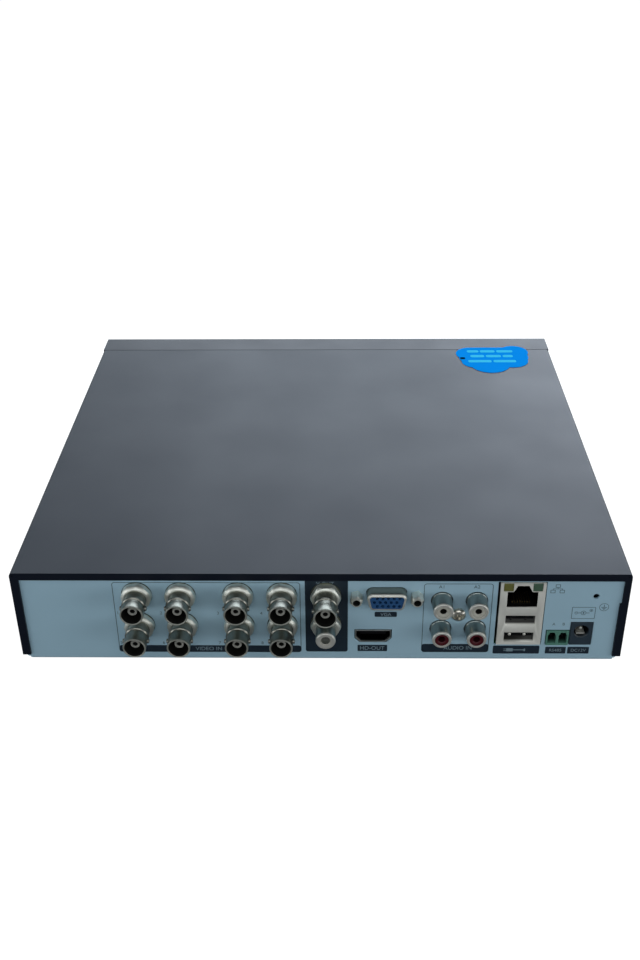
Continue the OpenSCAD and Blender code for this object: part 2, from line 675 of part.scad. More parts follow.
module main_board() color([0.04, 0.22, 0.14]) difference() {
    span([board_min[0], board_min[1], board_z], [board_max[0], board_max[1], board_z + board_t]);
    for (p = post_at) translate([p[0], p[1], board_z - 1]) cylinder(r = 1.7, h = 4);
}

function drive_holes() = [for (sx = [-1, 1]) for (sy = [-1, 1])
    [drive_at[0] + sx * 38.1, drive_at[1] + sy * 47.6]];

module pan_screw(shank_r, shank_len) difference() {
    union() {
        cylinder(r = 2.8, h = 1.7);
        translate([0, 0, -shank_len]) cylinder(r = shank_r, h = shank_len + 0.5);
    }
    for (a = [0, 90]) rotate(a) translate([-1.6, -0.4, 0.9]) cube([3.2, 0.8, 2]);
}

module bright_screws() color([0.72, 0.70, 0.60]) {
    audio_screw();
    for (p = post_at) translate([p[0], p[1], board_z + board_t]) pan_screw(1.3 - hair, 4.6);
    for (p = drive_holes()) translate([p[0], p[1], tray_z]) rotate([180, 0, 0])
        pan_screw(1.6 - hair, drive_at[2] - tray_z + 3);
    for (sy = [-1, 1]) for (sz = [-1, 1])
        translate([fan_face - fan_thick, fan_at[1] + sy * 16, fan_at[2] + sz * 16])
            rotate([0, -90, 0]) pan_screw(1.6 - hair, fan_thick + 0.9);
}

sink_at = [-18, 46];

module heat_sink() color([0.16, 0.17, 0.19])
    translate([sink_at[0], sink_at[1], board_z + board_t + 2.2]) {
        translate([-16, -16, 0]) cube([32, 32, 2]);
        for (i = [0:8]) translate([-16 + i * 3.85, -16, 1.5]) cube([1.2, 32, 8.5]);
    }

module board_chips() color([0.06, 0.06, 0.07]) translate([0, 0, board_z + board_t]) {
    translate([sink_at[0] - 9, sink_at[1] - 9, 0]) cube([18, 18, 2.2]); // main processor
    for (x = [-62, -46]) for (y = [32, 50]) translate([x, y, 0]) cube([9, 13, 1.1]); // memory
    for (u = coax_cols) translate([case_w / 2 - u - 4, 74, 0]) cube([8, 8, 1]); // video receivers
    translate([-100, 60, 0]) cube([16, 12, 6]); // network transformer
    translate([30, 20, 0]) cube([12, 8, 1.8]); // flash memory
    translate([-75, 72, 0]) cube([7, 10, 1.5]); // sound codec
    translate([46, 8, 0]) cube([17, 7, 8]); // drive data header
    translate([66, 8, 0]) cube([10, 6, 9]); // drive power header
}

module board_capacitors() color([0.16, 0.16, 0.20]) translate([0, 0, board_z + board_t]) {
    for (p = [[-104, 30], [-104, 42], [-90, 30], [60, 40], [60, 54]])
        translate([p[0], p[1], 0]) cylinder(r = 4, h = 11);
    for (p = [[-88, 46], [72, 40], [72, 54]]) translate([p[0] - 4.5, p[1] - 4.5, 0]) cube([9, 9, 5]);
}

module clock_battery() color([0.75, 0.75, 0.72]) translate([12, 24, board_z + board_t]) {
    difference() {
        translate([0, 0, 0.3]) cylinder(r = 10, h = 3.2);
        translate([0, 0, 3.2]) cylinder(r = 7.5, h = 2);
    }
    cylinder(r = 9, h = 0.5);
}

// ---- front board ---------------------------------------------------------------------------

front_board_y = y_front + 9;

module front_board() color([0.04, 0.22, 0.14]) difference() {
    span([window_x - 30, front_board_y, skirt_z + window_h - 7],
         [window_x + 30, front_board_y + 1.2, skirt_z + window_h + 9]);
    for (s = [-1, 1]) translate([window_x + s * 27, front_board_y - 1, skirt_z + window_h + 7])
        rotate([-90, 0, 0]) cylinder(r = 1.1, h = 4);
}

// Three round indicator lamps and the infrared receiver's block.
module status_lights() color([0.80, 0.82, 0.84]) {
    for (i = [0:2]) translate([window_x - 22 + i * 9, y_front + 3.4, skirt_z + window_h])
        rotate([-90, 0, 0]) cylinder(r = 1.5, h = front_board_y - y_front - 3.4);
    span([window_x + 14, front_board_y - 4, skirt_z + window_h - 3],
         [window_x + 20, front_board_y, skirt_z + window_h + 3.4]);
}

// ---- disk drive ----------------------------------------------------------------------------

drive_lid_t = 1;
spindle_at = [drive_at[0] - 20, drive_at[1]];
pivot_at = [spindle_at[0] + 58, spindle_at[1] + 18];
platter_z = drive_at[2] + 12;

module drive_casting() color([0.55, 0.56, 0.58]) {
    translate(drive_at) difference() {
        span([-drive_size[0] / 2, -drive_size[1] / 2, 0],
             [drive_size[0] / 2, drive_size[1] / 2, drive_size[2] - drive_lid_t]);
        // the clean chamber: a round bay for the platters that opens into the arm's bay
        translate([spindle_at[0] - drive_at[0], 0, 7]) cylinder(r = 48.6, h = 30, $fn = 96);
        span([0, -44, 7], [64, 44, 40]);
        for (p = drive_holes()) translate([p[0] - drive_at[0], p[1] - drive_at[1], -1])
            cylinder(r = 1.6, h = 5);
    }
    // the posts that the platters and the arm turn on
    translate([spindle_at[0], spindle_at[1], drive_at[2] + 6.5]) cylinder(r = 3, h = 5.5);
    translate([pivot_at[0], pivot_at[1], drive_at[2] + 6.5]) cylinder(r = 2.5, h = 9);
}

module drive_lid() color([0.66, 0.67, 0.69])
    translate([drive_at[0], drive_at[1], drive_at[2] + drive_size[2] - drive_lid_t])
        linear_extrude(drive_lid_t) polygon(round_rect(drive_size[0] - 2, drive_size[1] - 2, 4));

module drive_platters() color([0.80, 0.81, 0.83])
    translate([spindle_at[0], spindle_at[1], drive_at[2]]) rotate_extrude($fn = 96) polygon([
        [3 + hair, 7.3], [13, 7.3], [13, 12], [platter_r, 12], [platter_r, 13.3], [12.5, 13.3],
        [12.5, 15], [0, 15], [0, 12.4], [3 + hair, 12.4]
    ]);

arm_len = 50;
arm_rest = 249; // direction of the parked arm, with its tip off the platter's edge

// The arm: a hub on its post, a tapered beam that reaches over the platter, and a coil behind.
module drive_arm() color([0.72, 0.73, 0.75]) translate([pivot_at[0], pivot_at[1], drive_at[2]]) {
    difference() {
        union() {
            translate([0, 0, 7.3]) cylinder(r = 7, h = 10);
            translate([0, 0, 14]) rotate(arm_rest) linear_extrude(1.2) polygon([
                [0, 5.5], [arm_len - 10, 2], [arm_len, 1.2],
                [arm_len, -1.2], [arm_len - 10, -2], [0, -5.5]
            ]);
            translate([0, 0, 8.5]) rotate(arm_rest + 180) linear_extrude(3)
                polygon([[0, 6], [14, 11], [20, 8], [20, -8], [14, -11], [0, -6]]);
        }
        translate([0, 0, 5]) cylinder(r = 2.5 + hair, h = 11);
    }
}

// ---- fan -----------------------------------------------------------------------------------

fan_face = tray_w / 2 - sheet; // the fan's outer face lies on the tray's side wall
fan_hub_r = 11.5;

module at_fan() {
    translate([fan_face - fan_thick, fan_at[1], fan_at[2]]) rotate([0, 90, 0]) children();
}

module fan_frame() color([0.05, 0.05, 0.05]) at_fan() {
    difference() {
        translate([-fan_side / 2, -fan_side / 2, 0]) cube([fan_side, fan_side, fan_thick]);
        translate([0, 0, -1]) cylinder(r = fan_side / 2 - 1, h = fan_thick + 2);
        for (sx = [-1, 1]) for (sy = [-1, 1]) translate([sx * 16, sy * 16, -1])
            cylinder(r = 1.6, h = fan_thick + 2);
    }
    // motor seat and bearing tube on three struts, on the inner side
    cylinder(r = fan_hub_r, h = 1.6);
    for (a = [30, 150, 270]) rotate(a) translate([fan_hub_r - 1, -1, 0])
        cube([fan_side / 2 - fan_hub_r + 0.6, 2, 1.4]);
    difference() {
        translate([0, 0, 1]) cylinder(r = 3.2, h = 6);
        translate([0, 0, 1.6]) cylinder(r = 1.5 + hair, h = 8);
    }
}

fan_blades = 7;

module fan_rotor() color([0.07, 0.07, 0.07]) at_fan() {
    difference() {
        translate([0, 0, 2]) cylinder(r = fan_hub_r, h = 7.4);
        translate([0, 0, 1]) cylinder(r = fan_hub_r - 1.2, h = 6.4);
    }
    translate([0, 0, 1.9]) cylinder(r = 1.5, h = 6);
    for (i = [0:fan_blades - 1]) rotate(360 * i / fan_blades) translate([fan_hub_r - 0.6, 0, 5.6])
        rotate([38, 0, 0]) translate([0, -4.4, -0.5]) cube([6.8, 8.8, 1]);
}

// ---- inner leads ---------------------------------------------------------------------------

function unit(v) = v / norm(v);
function bearing(path, i) = unit(path[min(i + 1, len(path) - 1)] - path[max(i - 1, 0)]);

// A tube swept along a path of points: a ring of corners square to the path at each point.
module tube(path, r, sides = 8) {
    rings = [for (i = [0:len(path) - 1])
        let (t = bearing(path, i),
             a = unit(cross(t, abs(t[2]) > 0.9 ? [1, 0, 0] : [0, 0, 1])),
             b = cross(t, a))
        for (k = [0:sides - 1])
            path[i] + r * (a * cos(360 * k / sides) + b * sin(360 * k / sides))];
    last = (len(path) - 1) * sides;
    polyhedron(points = rings, faces = concat(
        [[for (k = [0:sides - 1]) k]],
        [[for (k = [sides - 1:-1:0]) last + k]],
        [for (i = [0:len(path) - 2]) for (k = [0:sides - 1])
            let (k2 = (k + 1) % sides)
            [i * sides + k2, i * sides + k, (i + 1) * sides + k, (i + 1) * sides + k2]]));
}

// A smooth path through a short list of points, by quadratic curves between their midpoints.
function smooth(p, n = 5) = concat([p[0]],
    [for (i = [1:len(p) - 2]) for (k = [0:n])
        let (t = k / n,
             a = i == 1 ? p[0] * 0.4 + p[1] * 0.6 : (p[i - 1] + p[i]) / 2,
             c = i == len(p) - 2 ? p[i] * 0.6 + p[i + 1] * 0.4 : (p[i] + p[i + 1]) / 2)
        (1 - t) * (1 - t) * a + 2 * t * (1 - t) * p[i] + t * t * c],
    [p[len(p) - 1]]);

drive_end = drive_at[0] + drive_size[0] / 2;
board_face = board_z + board_t;
data_lead = [[54, 11, board_face + 8], [54, 11, board_face + 16], [48, -8, board_face + 17],
             [40, -26, drive_at[2] + 12], [36, -40, drive_at[2] + 8], [drive_end, -40, drive_at[2] + 8]];
power_lead = [[71, 11, board_face + 9], [71, 11, board_face + 18], [62, -14, board_face + 17],
              [46, -56, drive_at[2] + 12], [38, -66, drive_at[2] + 8], [drive_end, -66, drive_at[2] + 8]];
fan_lead = [[fan_face - fan_thick, -44, skirt_z + 2.3], [110, -44, skirt_z + 2.3],
            [104, -28, skirt_z + 4], [98, -6, skirt_z + 5], [94, 12, skirt_z + 10],
            [86, 24, skirt_z + 14], [80, 26, skirt_z + 12], [80, 26, board_face]];
front_lead = [[90, front_board_y + 1.2, skirt_z + 24], [90, y_bezel - 4, skirt_z + 24],
              [91, y_bezel - 2.5, skirt_z + 15], [91.5, y_bezel + 6, skirt_z + 15],
              [88, -70, skirt_z + 6], [85, -30, skirt_z + 4], [85, -8, skirt_z + 8],
              [85.5, 3, skirt_z + 15], [85.5, 9, skirt_z + 13], [85.5, 9, board_face]];

module inner_leads() color([0.65, 0.10, 0.08]) {
    tube(smooth(data_lead), 2.2);
    tube(smooth(power_lead), 2.4);
    tube(smooth(fan_lead), 1.1);
    tube(smooth(front_lead), 1.3);
}

// ---- drawing -------------------------------------------------------------------------------

base_tray();
rear_panel();
top_cover();
front_bezel();
front_window();
cover_screws();
rubber_feet();
cloud_sticker();
video_in(0);  // video_in_1
video_in(1);  // video_in_2
video_in(2);  // video_in_3
video_in(3);  // video_in_4
video_in(4);  // video_in_5
video_in(5);  // video_in_6
video_in(6);  // video_in_7
video_in(7);  // video_in_8
video_out();
audio_out();
coax_insulators();
coax_contacts();
coax_nuts();
coax_washers();
coax_housings();
audio_in(0);  // audio_in_1
audio_in(1);  // audio_in_2
audio_in(2);  // audio_in_3
audio_in(3);  // audio_in_4
audio_white_inserts();
audio_red_inserts();
audio_housing();
monitor_shell();
monitor_insert();
monitor_bracket();
monitor_jack_screws();
digital_shell();
digital_tongue();
network_cage();
network_insert();
network_contacts();
network_lights();
data_tongues();
terminal_block();
terminal_pins();
dc_jack();
dc_jack_contacts();
main_board();
bright_screws();
heat_sink();
board_chips();
board_capacitors();
clock_battery();
front_board();
status_lights();
drive_casting();
drive_lid();
drive_platters();
drive_arm();
fan_frame();
fan_rotor();
inner_leads();
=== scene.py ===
import math

import bmesh
import bpy
import numpy as np
from mathutils import Matrix, Vector


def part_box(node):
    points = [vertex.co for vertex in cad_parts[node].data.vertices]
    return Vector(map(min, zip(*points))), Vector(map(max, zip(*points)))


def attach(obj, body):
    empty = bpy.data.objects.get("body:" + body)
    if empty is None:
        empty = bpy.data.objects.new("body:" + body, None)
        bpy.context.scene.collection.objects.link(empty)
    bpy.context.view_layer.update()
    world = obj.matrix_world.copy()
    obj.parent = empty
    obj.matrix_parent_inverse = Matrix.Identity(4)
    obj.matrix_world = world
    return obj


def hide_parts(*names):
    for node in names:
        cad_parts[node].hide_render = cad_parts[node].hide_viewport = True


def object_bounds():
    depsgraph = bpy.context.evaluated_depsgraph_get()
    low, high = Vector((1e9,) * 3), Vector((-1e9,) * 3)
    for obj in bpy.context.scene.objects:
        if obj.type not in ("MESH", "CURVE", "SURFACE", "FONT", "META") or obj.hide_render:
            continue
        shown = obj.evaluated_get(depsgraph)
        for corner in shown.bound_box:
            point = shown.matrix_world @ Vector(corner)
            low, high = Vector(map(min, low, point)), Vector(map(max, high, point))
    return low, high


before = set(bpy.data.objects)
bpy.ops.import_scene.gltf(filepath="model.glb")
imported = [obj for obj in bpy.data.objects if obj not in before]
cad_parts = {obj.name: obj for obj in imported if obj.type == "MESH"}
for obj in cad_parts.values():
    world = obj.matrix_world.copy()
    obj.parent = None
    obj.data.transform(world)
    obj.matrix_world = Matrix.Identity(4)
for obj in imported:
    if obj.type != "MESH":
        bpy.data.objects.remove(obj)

cad_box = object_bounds()
mm = 0.001

# ---- The table it stands on ------------------------------------------------------------------
# A pale table, looked at from behind the recorder and from above. Three soft boxes beyond the front
# give the sheen on the cover, one on each side lights the sockets and a high one the whole panel.


def look_from(place, yaw, pitch, roll):
    """A camera turned from level by a yaw, then tipped down by a pitch, then rolled about its own
    axis, all in radians, and given as the matrix of its right, up and backward directions."""
    ahead = np.array([-math.sin(yaw) * math.cos(pitch), -math.cos(yaw) * math.cos(pitch), -math.sin(pitch)])
    level = np.array([-math.cos(yaw), math.sin(yaw), 0.0])
    rise = np.cross(level, ahead)
    right = math.cos(roll) * level + math.sin(roll) * rise
    up = -math.sin(roll) * level + math.cos(roll) * rise
    turned_to = Matrix([list(column) for column in zip(right, up, -ahead)]).to_4x4()
    return Matrix.Translation(place) @ turned_to


rear_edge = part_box("top_cover")[1][1]
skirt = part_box("top_cover")[0][2]
camera = bpy.data.objects.new("camera", bpy.data.cameras.new("camera"))
camera.data.lens = 42.487
camera.data.clip_start = 0.01
camera.matrix_world = look_from((-0.00834, rear_edge + 0.37578, skirt + 0.31366), -0.02044, 0.5418, -0.01016)
bpy.context.scene.collection.objects.link(camera)
bpy.context.scene.camera = camera
bpy.context.scene.view_settings.view_transform = "Standard"


def soft_box(name, place, aim, size, power, colour):
    """A rectangular light at `place` whose face is turned to the point `aim`."""
    light = bpy.data.lights.new(name, "AREA")
    light.shape = "RECTANGLE"
    light.size, light.size_y = size
    light.energy = power
    light.color = colour
    box = bpy.data.objects.new(name, light)
    turn = (Vector(aim) - Vector(place)).to_track_quat("-Z", "Y")
    box.matrix_world = Matrix.Translation(place) @ turn.to_matrix().to_4x4()
    bpy.context.scene.collection.objects.link(box)


soft_box("rear_box", (0.0, -0.95, 0.56), (0, 0, 0.05), (2.4, 0.9), 12.4, (0.78, 0.89, 1.0))
soft_box("middle_box", (-0.15, -0.95, 0.60), (0, 0, 0.05), (0.9, 0.9), 5.6, (0.78, 0.88, 1.0))
soft_box("corner_box", (-0.60, -0.95, 0.38), (0, 0, 0.05), (0.8, 0.4), 3.9, (0.82, 0.88, 1.0))
soft_box("left_box", (0.95, 0.62, 0.17), (0, 0.1, 0.03), (0.9, 0.4), 2.5, (0.95, 0.98, 1.0))
soft_box("right_box", (-0.95, 0.62, 0.17), (0, 0.1, 0.03), (0.9, 0.4), 2.7, (0.97, 0.99, 1.0))
soft_box("high_box", (0.0, 1.25, 0.85), (0, 0.1, 0.03), (1.4, 0.7), 5.0, (0.96, 0.99, 1.0))

world = bpy.data.worlds.new("room")
world.use_nodes = True
bpy.context.scene.world = world
world.node_tree.nodes["Background"].inputs["Color"].default_value = (0.55, 0.62, 0.68, 1)
world.node_tree.nodes["Background"].inputs["Strength"].default_value = 0.14


def new_material(name, colour, rough, metal=0.0):
    """A node material with its plain values set, and its nodes, links and shader to build on."""
    material = bpy.data.materials.new(name)
    material.use_nodes = True
    shader = material.node_tree.nodes["Principled BSDF"]
    shader.inputs["Base Color"].default_value = (*colour, 1)
    shader.inputs["Roughness"].default_value = rough
    shader.inputs["Metallic"].default_value = metal
    return material, material.node_tree.nodes, material.node_tree.links, shader


table_top, nodes, links, shader = new_material("pale_table", (0.16, 0.16, 0.16), 0.8)
glow = nodes.new("ShaderNodeEmission")
glow.inputs["Color"].default_value = (1.0, 1.0, 1.0, 1)
glow.inputs["Strength"].default_value = 1.0
seen = nodes.new("ShaderNodeLightPath")
blend = nodes.new("ShaderNodeMixShader")
add = nodes.new("ShaderNodeAddShader")
links.new(shader.outputs[0], add.inputs[0])
links.new(glow.outputs[0], add.inputs[1])
links.new(seen.outputs["Is Camera Ray"], blend.inputs["Fac"])
links.new(shader.outputs[0], blend.inputs[1])
links.new(add.outputs[0], blend.inputs[2])
links.new(blend.outputs[0], nodes["Material Output"].inputs["Surface"])
floor_mesh = bpy.data.meshes.new("table")
floor_mesh.from_pydata([(-9, -9, 0), (9, -9, 0), (9, 9, 0), (-9, 9, 0)], [], [(0, 1, 2, 3)])
floor_mesh.materials.append(table_top)
floor = bpy.data.objects.new("table", floor_mesh)
bpy.context.scene.collection.objects.link(floor)

# ---- Tray and rear panel ---------------------------------------------------------------------
# Steel sheet with a pale blue-grey coat: the tray, folded into the bottom, the front wall and the
# low flanges, with its screw posts and drive seats pressed in, and the punched rear panel.


def textured(name, colour, rough, metal, grain, depth, vary, scale=60, shade=None, spec=0.5):
    """A finish whose colour drifts by `vary` with a broad noise, and whose surface has a fine grain
    of `grain` lumps to the metre that stand `depth` metres high. With `shade`, (lit, dark), the
    colour falls to a twentieth as Y goes from the first to the second, where no light reaches."""
    material, nodes, links, shader = new_material(name, colour, rough, metal)
    where = nodes.new("ShaderNodeTexCoord")
    broad = nodes.new("ShaderNodeTexNoise")
    broad.inputs["Scale"].default_value = scale
    broad.inputs["Detail"].default_value = 5
    tint = nodes.new("ShaderNodeMix")
    tint.data_type = "RGBA"
    tint.inputs["A"].default_value = (*[c * (1 - vary) for c in colour], 1)
    tint.inputs["B"].default_value = (*[min(1, c * (1 + vary)) for c in colour], 1)
    fine = nodes.new("ShaderNodeTexNoise")
    fine.inputs["Scale"].default_value = grain
    fine.inputs["Detail"].default_value = 2
    bump = nodes.new("ShaderNodeBump")
    bump.inputs["Distance"].default_value = depth
    bump.inputs["Strength"].default_value = 1.0
    worn = nodes.new("ShaderNodeMapRange")
    worn.inputs["To Min"].default_value = rough * 0.85
    worn.inputs["To Max"].default_value = min(1, rough * 1.15)
    for noise in (broad, fine):
        links.new(where.outputs["Object"], noise.inputs["Vector"])
    links.new(broad.outputs["Fac"], tint.inputs["Factor"])
    links.new(broad.outputs["Fac"], worn.inputs["Value"])
    shader.inputs["Specular IOR Level"].default_value = spec
    colour_out = tint.outputs["Result"]
    if shade:
        place = nodes.new("ShaderNodeSeparateXYZ")
        fall = nodes.new("ShaderNodeMapRange")
        fall.inputs["From Min"].default_value, fall.inputs["From Max"].default_value = shade
        fall.inputs["To Min"].default_value, fall.inputs["To Max"].default_value = 1.0, 0.05
        dim = nodes.new("ShaderNodeVectorMath")
        dim.operation = "SCALE"
        links.new(where.outputs["Object"], place.inputs[0])
        links.new(place.outputs["Y"], fall.inputs["Value"])
        links.new(colour_out, dim.inputs[0])
        links.new(fall.outputs["Result"], dim.inputs["Scale"])
        colour_out = dim.outputs["Vector"]
    links.new(colour_out, shader.inputs["Base Color"])
    links.new(worn.outputs["Result"], shader.inputs["Roughness"])
    links.new(fine.outputs["Fac"], bump.inputs["Height"])
    links.new(bump.outputs["Normal"], shader.inputs["Normal"])
    return material


def carried_over(node, material, bevel, body="recorder", angle=30, join=True):
    """A copy of a CAD node with its doubles merged and, with `join`, its flat faces joined, so that
    its edges can be rounded by `bevel` metres as the real part's are."""
    shape = bmesh.new()
    shape.from_mesh(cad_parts[node].data)
    bmesh.ops.remove_doubles(shape, verts=shape.verts, dist=1e-6)
    if join:
        bmesh.ops.dissolve_limit(shape, angle_limit=math.radians(0.5), verts=shape.verts, edges=shape.edges)
    mesh = bpy.data.meshes.new(node + "_finish")
    shape.to_mesh(mesh)
    shape.free()
    copy = bpy.data.objects.new(mesh.name, mesh)
    bpy.context.scene.collection.objects.link(copy)
    mesh.materials.clear()
    mesh.materials.append(material)
    mesh.shade_smooth()
    mesh.set_sharp_from_angle(angle=math.radians(angle))
    if bevel:
        round_off = copy.modifiers.new("rounded_edges", "BEVEL")
        round_off.width = bevel
        round_off.segments = 2
        round_off.limit_method = "ANGLE"
        round_off.angle_limit = math.radians(angle)
        round_off.use_clamp_overlap = True
        round_off.harden_normals = True
    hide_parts(node)
    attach(copy, body)
    return copy


panel_coat = textured("pale_coat", (0.40, 0.60, 0.72), 0.42, 0.0, 5200, 0.00001, 0.05, 30)
fold = 0.22 * mm
carried_over("base_tray", panel_coat, fold)
carried_over("rear_panel", panel_coat, fold)
insert_set_back = 0.25 * mm
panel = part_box("network_insert")[1][1] + insert_set_back
left_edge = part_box("top_cover")[1][0]

# ---- Printing on the rear panel --------------------------------------------------------------
# Screen-printed ink, a few hundredths of a millimetre thick: dark blocks and thin frames round each
# group of sockets, with pale lettering on the dark blocks and dark lettering on the coat.


def at_panel(u, h, out=0.0):
    """A place on the rear panel: `u` mm from the cover's left edge as seen from behind, `h` mm above
    the cover's lower edge and `out` mm proud of the panel."""
    return np.array([left_edge - u * mm, panel + out * mm, skirt + h * mm])


def soft_rectangle(width, height, radius, steps=5):
    """A loop round a rectangle: at each angle the corner's centre plus a circle of `radius`."""
    angle = np.radians(np.concatenate([q * 90 + np.linspace(0, 90, steps) for q in range(4)]))
    turn = np.repeat([[1, 1], [-1, 1], [-1, -1], [1, -1]], steps, 0)
    round_part = np.stack([np.cos(angle), np.sin(angle)], 1) * radius
    return turn * [width / 2 - radius, height / 2 - radius] + round_part


def stacked(loops, heights, u, h):
    """Loops of (across, up) in mm, one above another at the `heights` out of the panel, as a grid of
    points. A loop may be a single point repeated, which makes a pole."""
    loops, heights = np.asarray(loops, float), np.asarray(heights, float)
    grid = np.empty((*loops.shape[:2], 3))
    grid[..., 0] = left_edge - (u + loops[..., 0]) * mm
    grid[..., 1] = panel + heights[:, None] * mm
    grid[..., 2] = skirt + (h + loops[..., 1]) * mm
    return grid


def skin(name, grids, material, stands_for=(), closed=False, sharp=35, inside=()):
    """One piece from grids of points, each joined by quads with its second way closed round, and its
    first way too if `closed`. Points in one place are merged, which shuts the poles, and the faces
    are then turned outwards. `inside` lists further materials, each with the row it starts from."""
    points, faces, finish, base = [], [], [], 0
    for grid in grids:
        n, m = grid.shape[:2]
        row, column = np.meshgrid(np.arange(n if closed else n - 1), np.arange(m), indexing="ij")
        beyond, beside = (row + 1) % n, (column + 1) % m
        quads = np.stack([row * m + column, row * m + beside, beyond * m + beside, beyond * m + column], -1)
        points.append(grid.reshape(-1, 3))
        faces.append(quads.reshape(-1, 4) + base)
        finish.append(np.repeat(sum((row[:, 0] >= start for _, start in inside), row[:, 0] * 0), m))
        base += n * m
    mesh = bpy.data.meshes.new(name)
    mesh.from_pydata(np.concatenate(points).tolist(), [], np.concatenate(faces).tolist())
    mesh.polygons.foreach_set("material_index", np.concatenate(finish).astype("i"))
    shape = bmesh.new()
    shape.from_mesh(mesh)
    bmesh.ops.remove_doubles(shape, verts=shape.verts, dist=2e-7)
    bmesh.ops.recalc_face_normals(shape, faces=shape.faces)
    shape.to_mesh(mesh)
    shape.free()
    for finish in (material, *[lining for lining, _ in inside]):
        mesh.materials.append(finish)
    mesh.shade_smooth()
    mesh.set_sharp_from_angle(angle=math.radians(sharp))
    piece = bpy.data.objects.new(name, mesh)
    bpy.context.scene.collection.objects.link(piece)
    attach(piece, "recorder")
    if stands_for:
        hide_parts(*stands_for)
    return piece


ink_under, ink_top = -0.02, 0.05


def plate(u0, u1, h0, h1, radius, high=ink_top):
    """A thin rounded plate on the panel, from `u0` to `u1` across and `h0` to `h1` up, in mm."""
    loop = soft_rectangle(u1 - u0, h1 - h0, radius)
    centre = np.zeros_like(loop)
    heights = [ink_under, ink_under, high, high]
    return stacked([centre, loop, loop, centre], heights, (u0 + u1) / 2, (h0 + h1) / 2)


def ring(u0, u1, h0, h1, radius, line):
    """A thin frame on the panel with lines `line` mm wide."""
    outer = soft_rectangle(u1 - u0, h1 - h0, radius)
    inner = soft_rectangle(u1 - u0 - 2 * line, h1 - h0 - 2 * line, max(radius - line, 0.02))
    heights = [ink_under, ink_top, ink_top, ink_under]
    return stacked([outer, outer, inner, inner], heights, (u0 + u1) / 2, (h0 + h1) / 2)


def lettering(name, words, material, high=0.08):
    """Words as thin solid letters on the panel: each is (text, u, h, height in mm), centred on u. The
    letters are made a mesh before they are placed."""
    graph = bpy.context.evaluated_depsgraph_get()
    turned_out = Matrix(((-1, 0, 0), (0, 0, 1), (0, 1, 0))).to_4x4()
    joined = bmesh.new()
    for text, u, h, height in words:
        curve = bpy.data.curves.new("letters", "FONT")
        curve.body = text
        curve.size = height * mm * 1.42
        curve.align_x = "CENTER"
        curve.extrude = 0.03 * mm
        letters = bpy.data.objects.new("letters", curve)
        bpy.context.scene.collection.objects.link(letters)
        graph.update()
        mesh = bpy.data.meshes.new_from_object(letters.evaluated_get(graph))
        mesh.transform(Matrix.Translation(at_panel(u, h, high - 0.03)) @ turned_out)
        joined.from_mesh(mesh)
        bpy.data.objects.remove(letters)
        bpy.data.curves.remove(curve)
        bpy.data.meshes.remove(mesh)
    mesh = bpy.data.meshes.new(name)
    bmesh.ops.remove_doubles(joined, verts=joined.verts, dist=1e-7)
    joined.to_mesh(mesh)
    joined.free()
    mesh.materials.append(material)
    piece = bpy.data.objects.new(name, mesh)
    bpy.context.scene.collection.objects.link(piece)
    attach(piece, "recorder")
    return piece


dark_ink = textured("dark_ink", (0.009, 0.021, 0.036), 0.5, 0.0, 9000, 0.000004, 0.15)
line_ink = textured("line_ink", (0.085, 0.130, 0.160), 0.5, 0.0, 9000, 0.000004, 0.1)
pale_ink = textured("pale_ink", (0.24, 0.33, 0.38), 0.5, 0.0, 9000, 0.000004, 0.1)
blocks = [
    plate(41.6, 119.5, 0.9, 4.5, 1.2), plate(121.4, 139.2, 1.3, 40.2, 1.0),
    plate(150.4, 159.7, 20.0, 22.6, 0.5), plate(143.4, 156.0, 1.6, 5.0, 0.3),
    plate(170.5, 199.0, 1.2, 5.6, 1.2), plate(200.9, 220.6, 0.5, 4.8, 0.5),
    plate(223.1, 231.8, 0.6, 4.2, 0.3), plate(232.5, 241.6, 0.6, 4.2, 0.3),
]
skin("ink_blocks", blocks, dark_ink)
frames = [
    ring(41.6, 119.5, 0.9, 37.6, 1.2, 0.28), ring(170.5, 199.0, 1.2, 37.2, 1.2, 0.28),
    ring(232.3, 242.1, 19.3, 25.3, 0.2, 0.22),
]
skin("ink_frames", frames, line_ink, closed=True)


def disc_ring(u, h, radius, line):
    """A thin round ring on the panel."""
    return ring(u - radius, u + radius, h - radius, h + radius, radius, line)


def dash(u, half, h, line=0.2):
    """A level stroke on the panel that runs `half` mm to each side of `u`."""
    return plate(u - half, u + half, h - line / 2, h + line / 2, 0.05)


def upright(u, h0, h1, line=0.2):
    """A standing stroke on the panel from `h0` up to `h1`."""
    return plate(u - line / 2, u + line / 2, h0, h1, 0.05)


# the earth sign is a stem over three shortening dashes in a ring
rings = [disc_ring(245.4, 25.3, 2.0, 0.2)]
strokes = [dash(245.4, half, h, 0.25) for half, h in ((1.2, 25.225), (0.7, 24.625), (0.3, 24.075))]
strokes += [upright(245.4, 25.3, 26.6, 0.24)]
# the polarity sign is a ringed dot with a lead to a minus on one side and to a plus on the other
rings += [disc_ring(237.2, 22.3, 1.1, 0.2), disc_ring(240.3, 23.6, 0.7, 0.15),
          disc_ring(234.2, 22.3, 0.7, 0.15)]
strokes += [plate(236.8, 237.6, 21.9, 22.7, 0.38), dash(235.5, 0.6, 22.3), dash(239.0, 0.7, 22.3)]
strokes += [dash(234.2, 0.35, 22.3, 0.16), dash(240.3, 0.35, 23.6, 0.16)]
strokes += [upright(240.3, 23.25, 23.95, 0.16)]
# the network sign is three boxes joined by a forked line
rings += [ring(u - 1, u + 1, h - 0.8, h + 0.8, 0.1, 0.22)
          for u, h in ((225.4, 36.1), (223.5, 33.3), (227.3, 33.3))]
strokes += [upright(225.4, 34.6, 35.4), dash(225.4, 2.0, 34.65)]
strokes += [upright(223.5, 34.0, 34.7), upright(227.3, 34.0, 34.7)]
skin("sign_rings", rings, line_ink, closed=True)
skin("sign_strokes", strokes, line_ink)
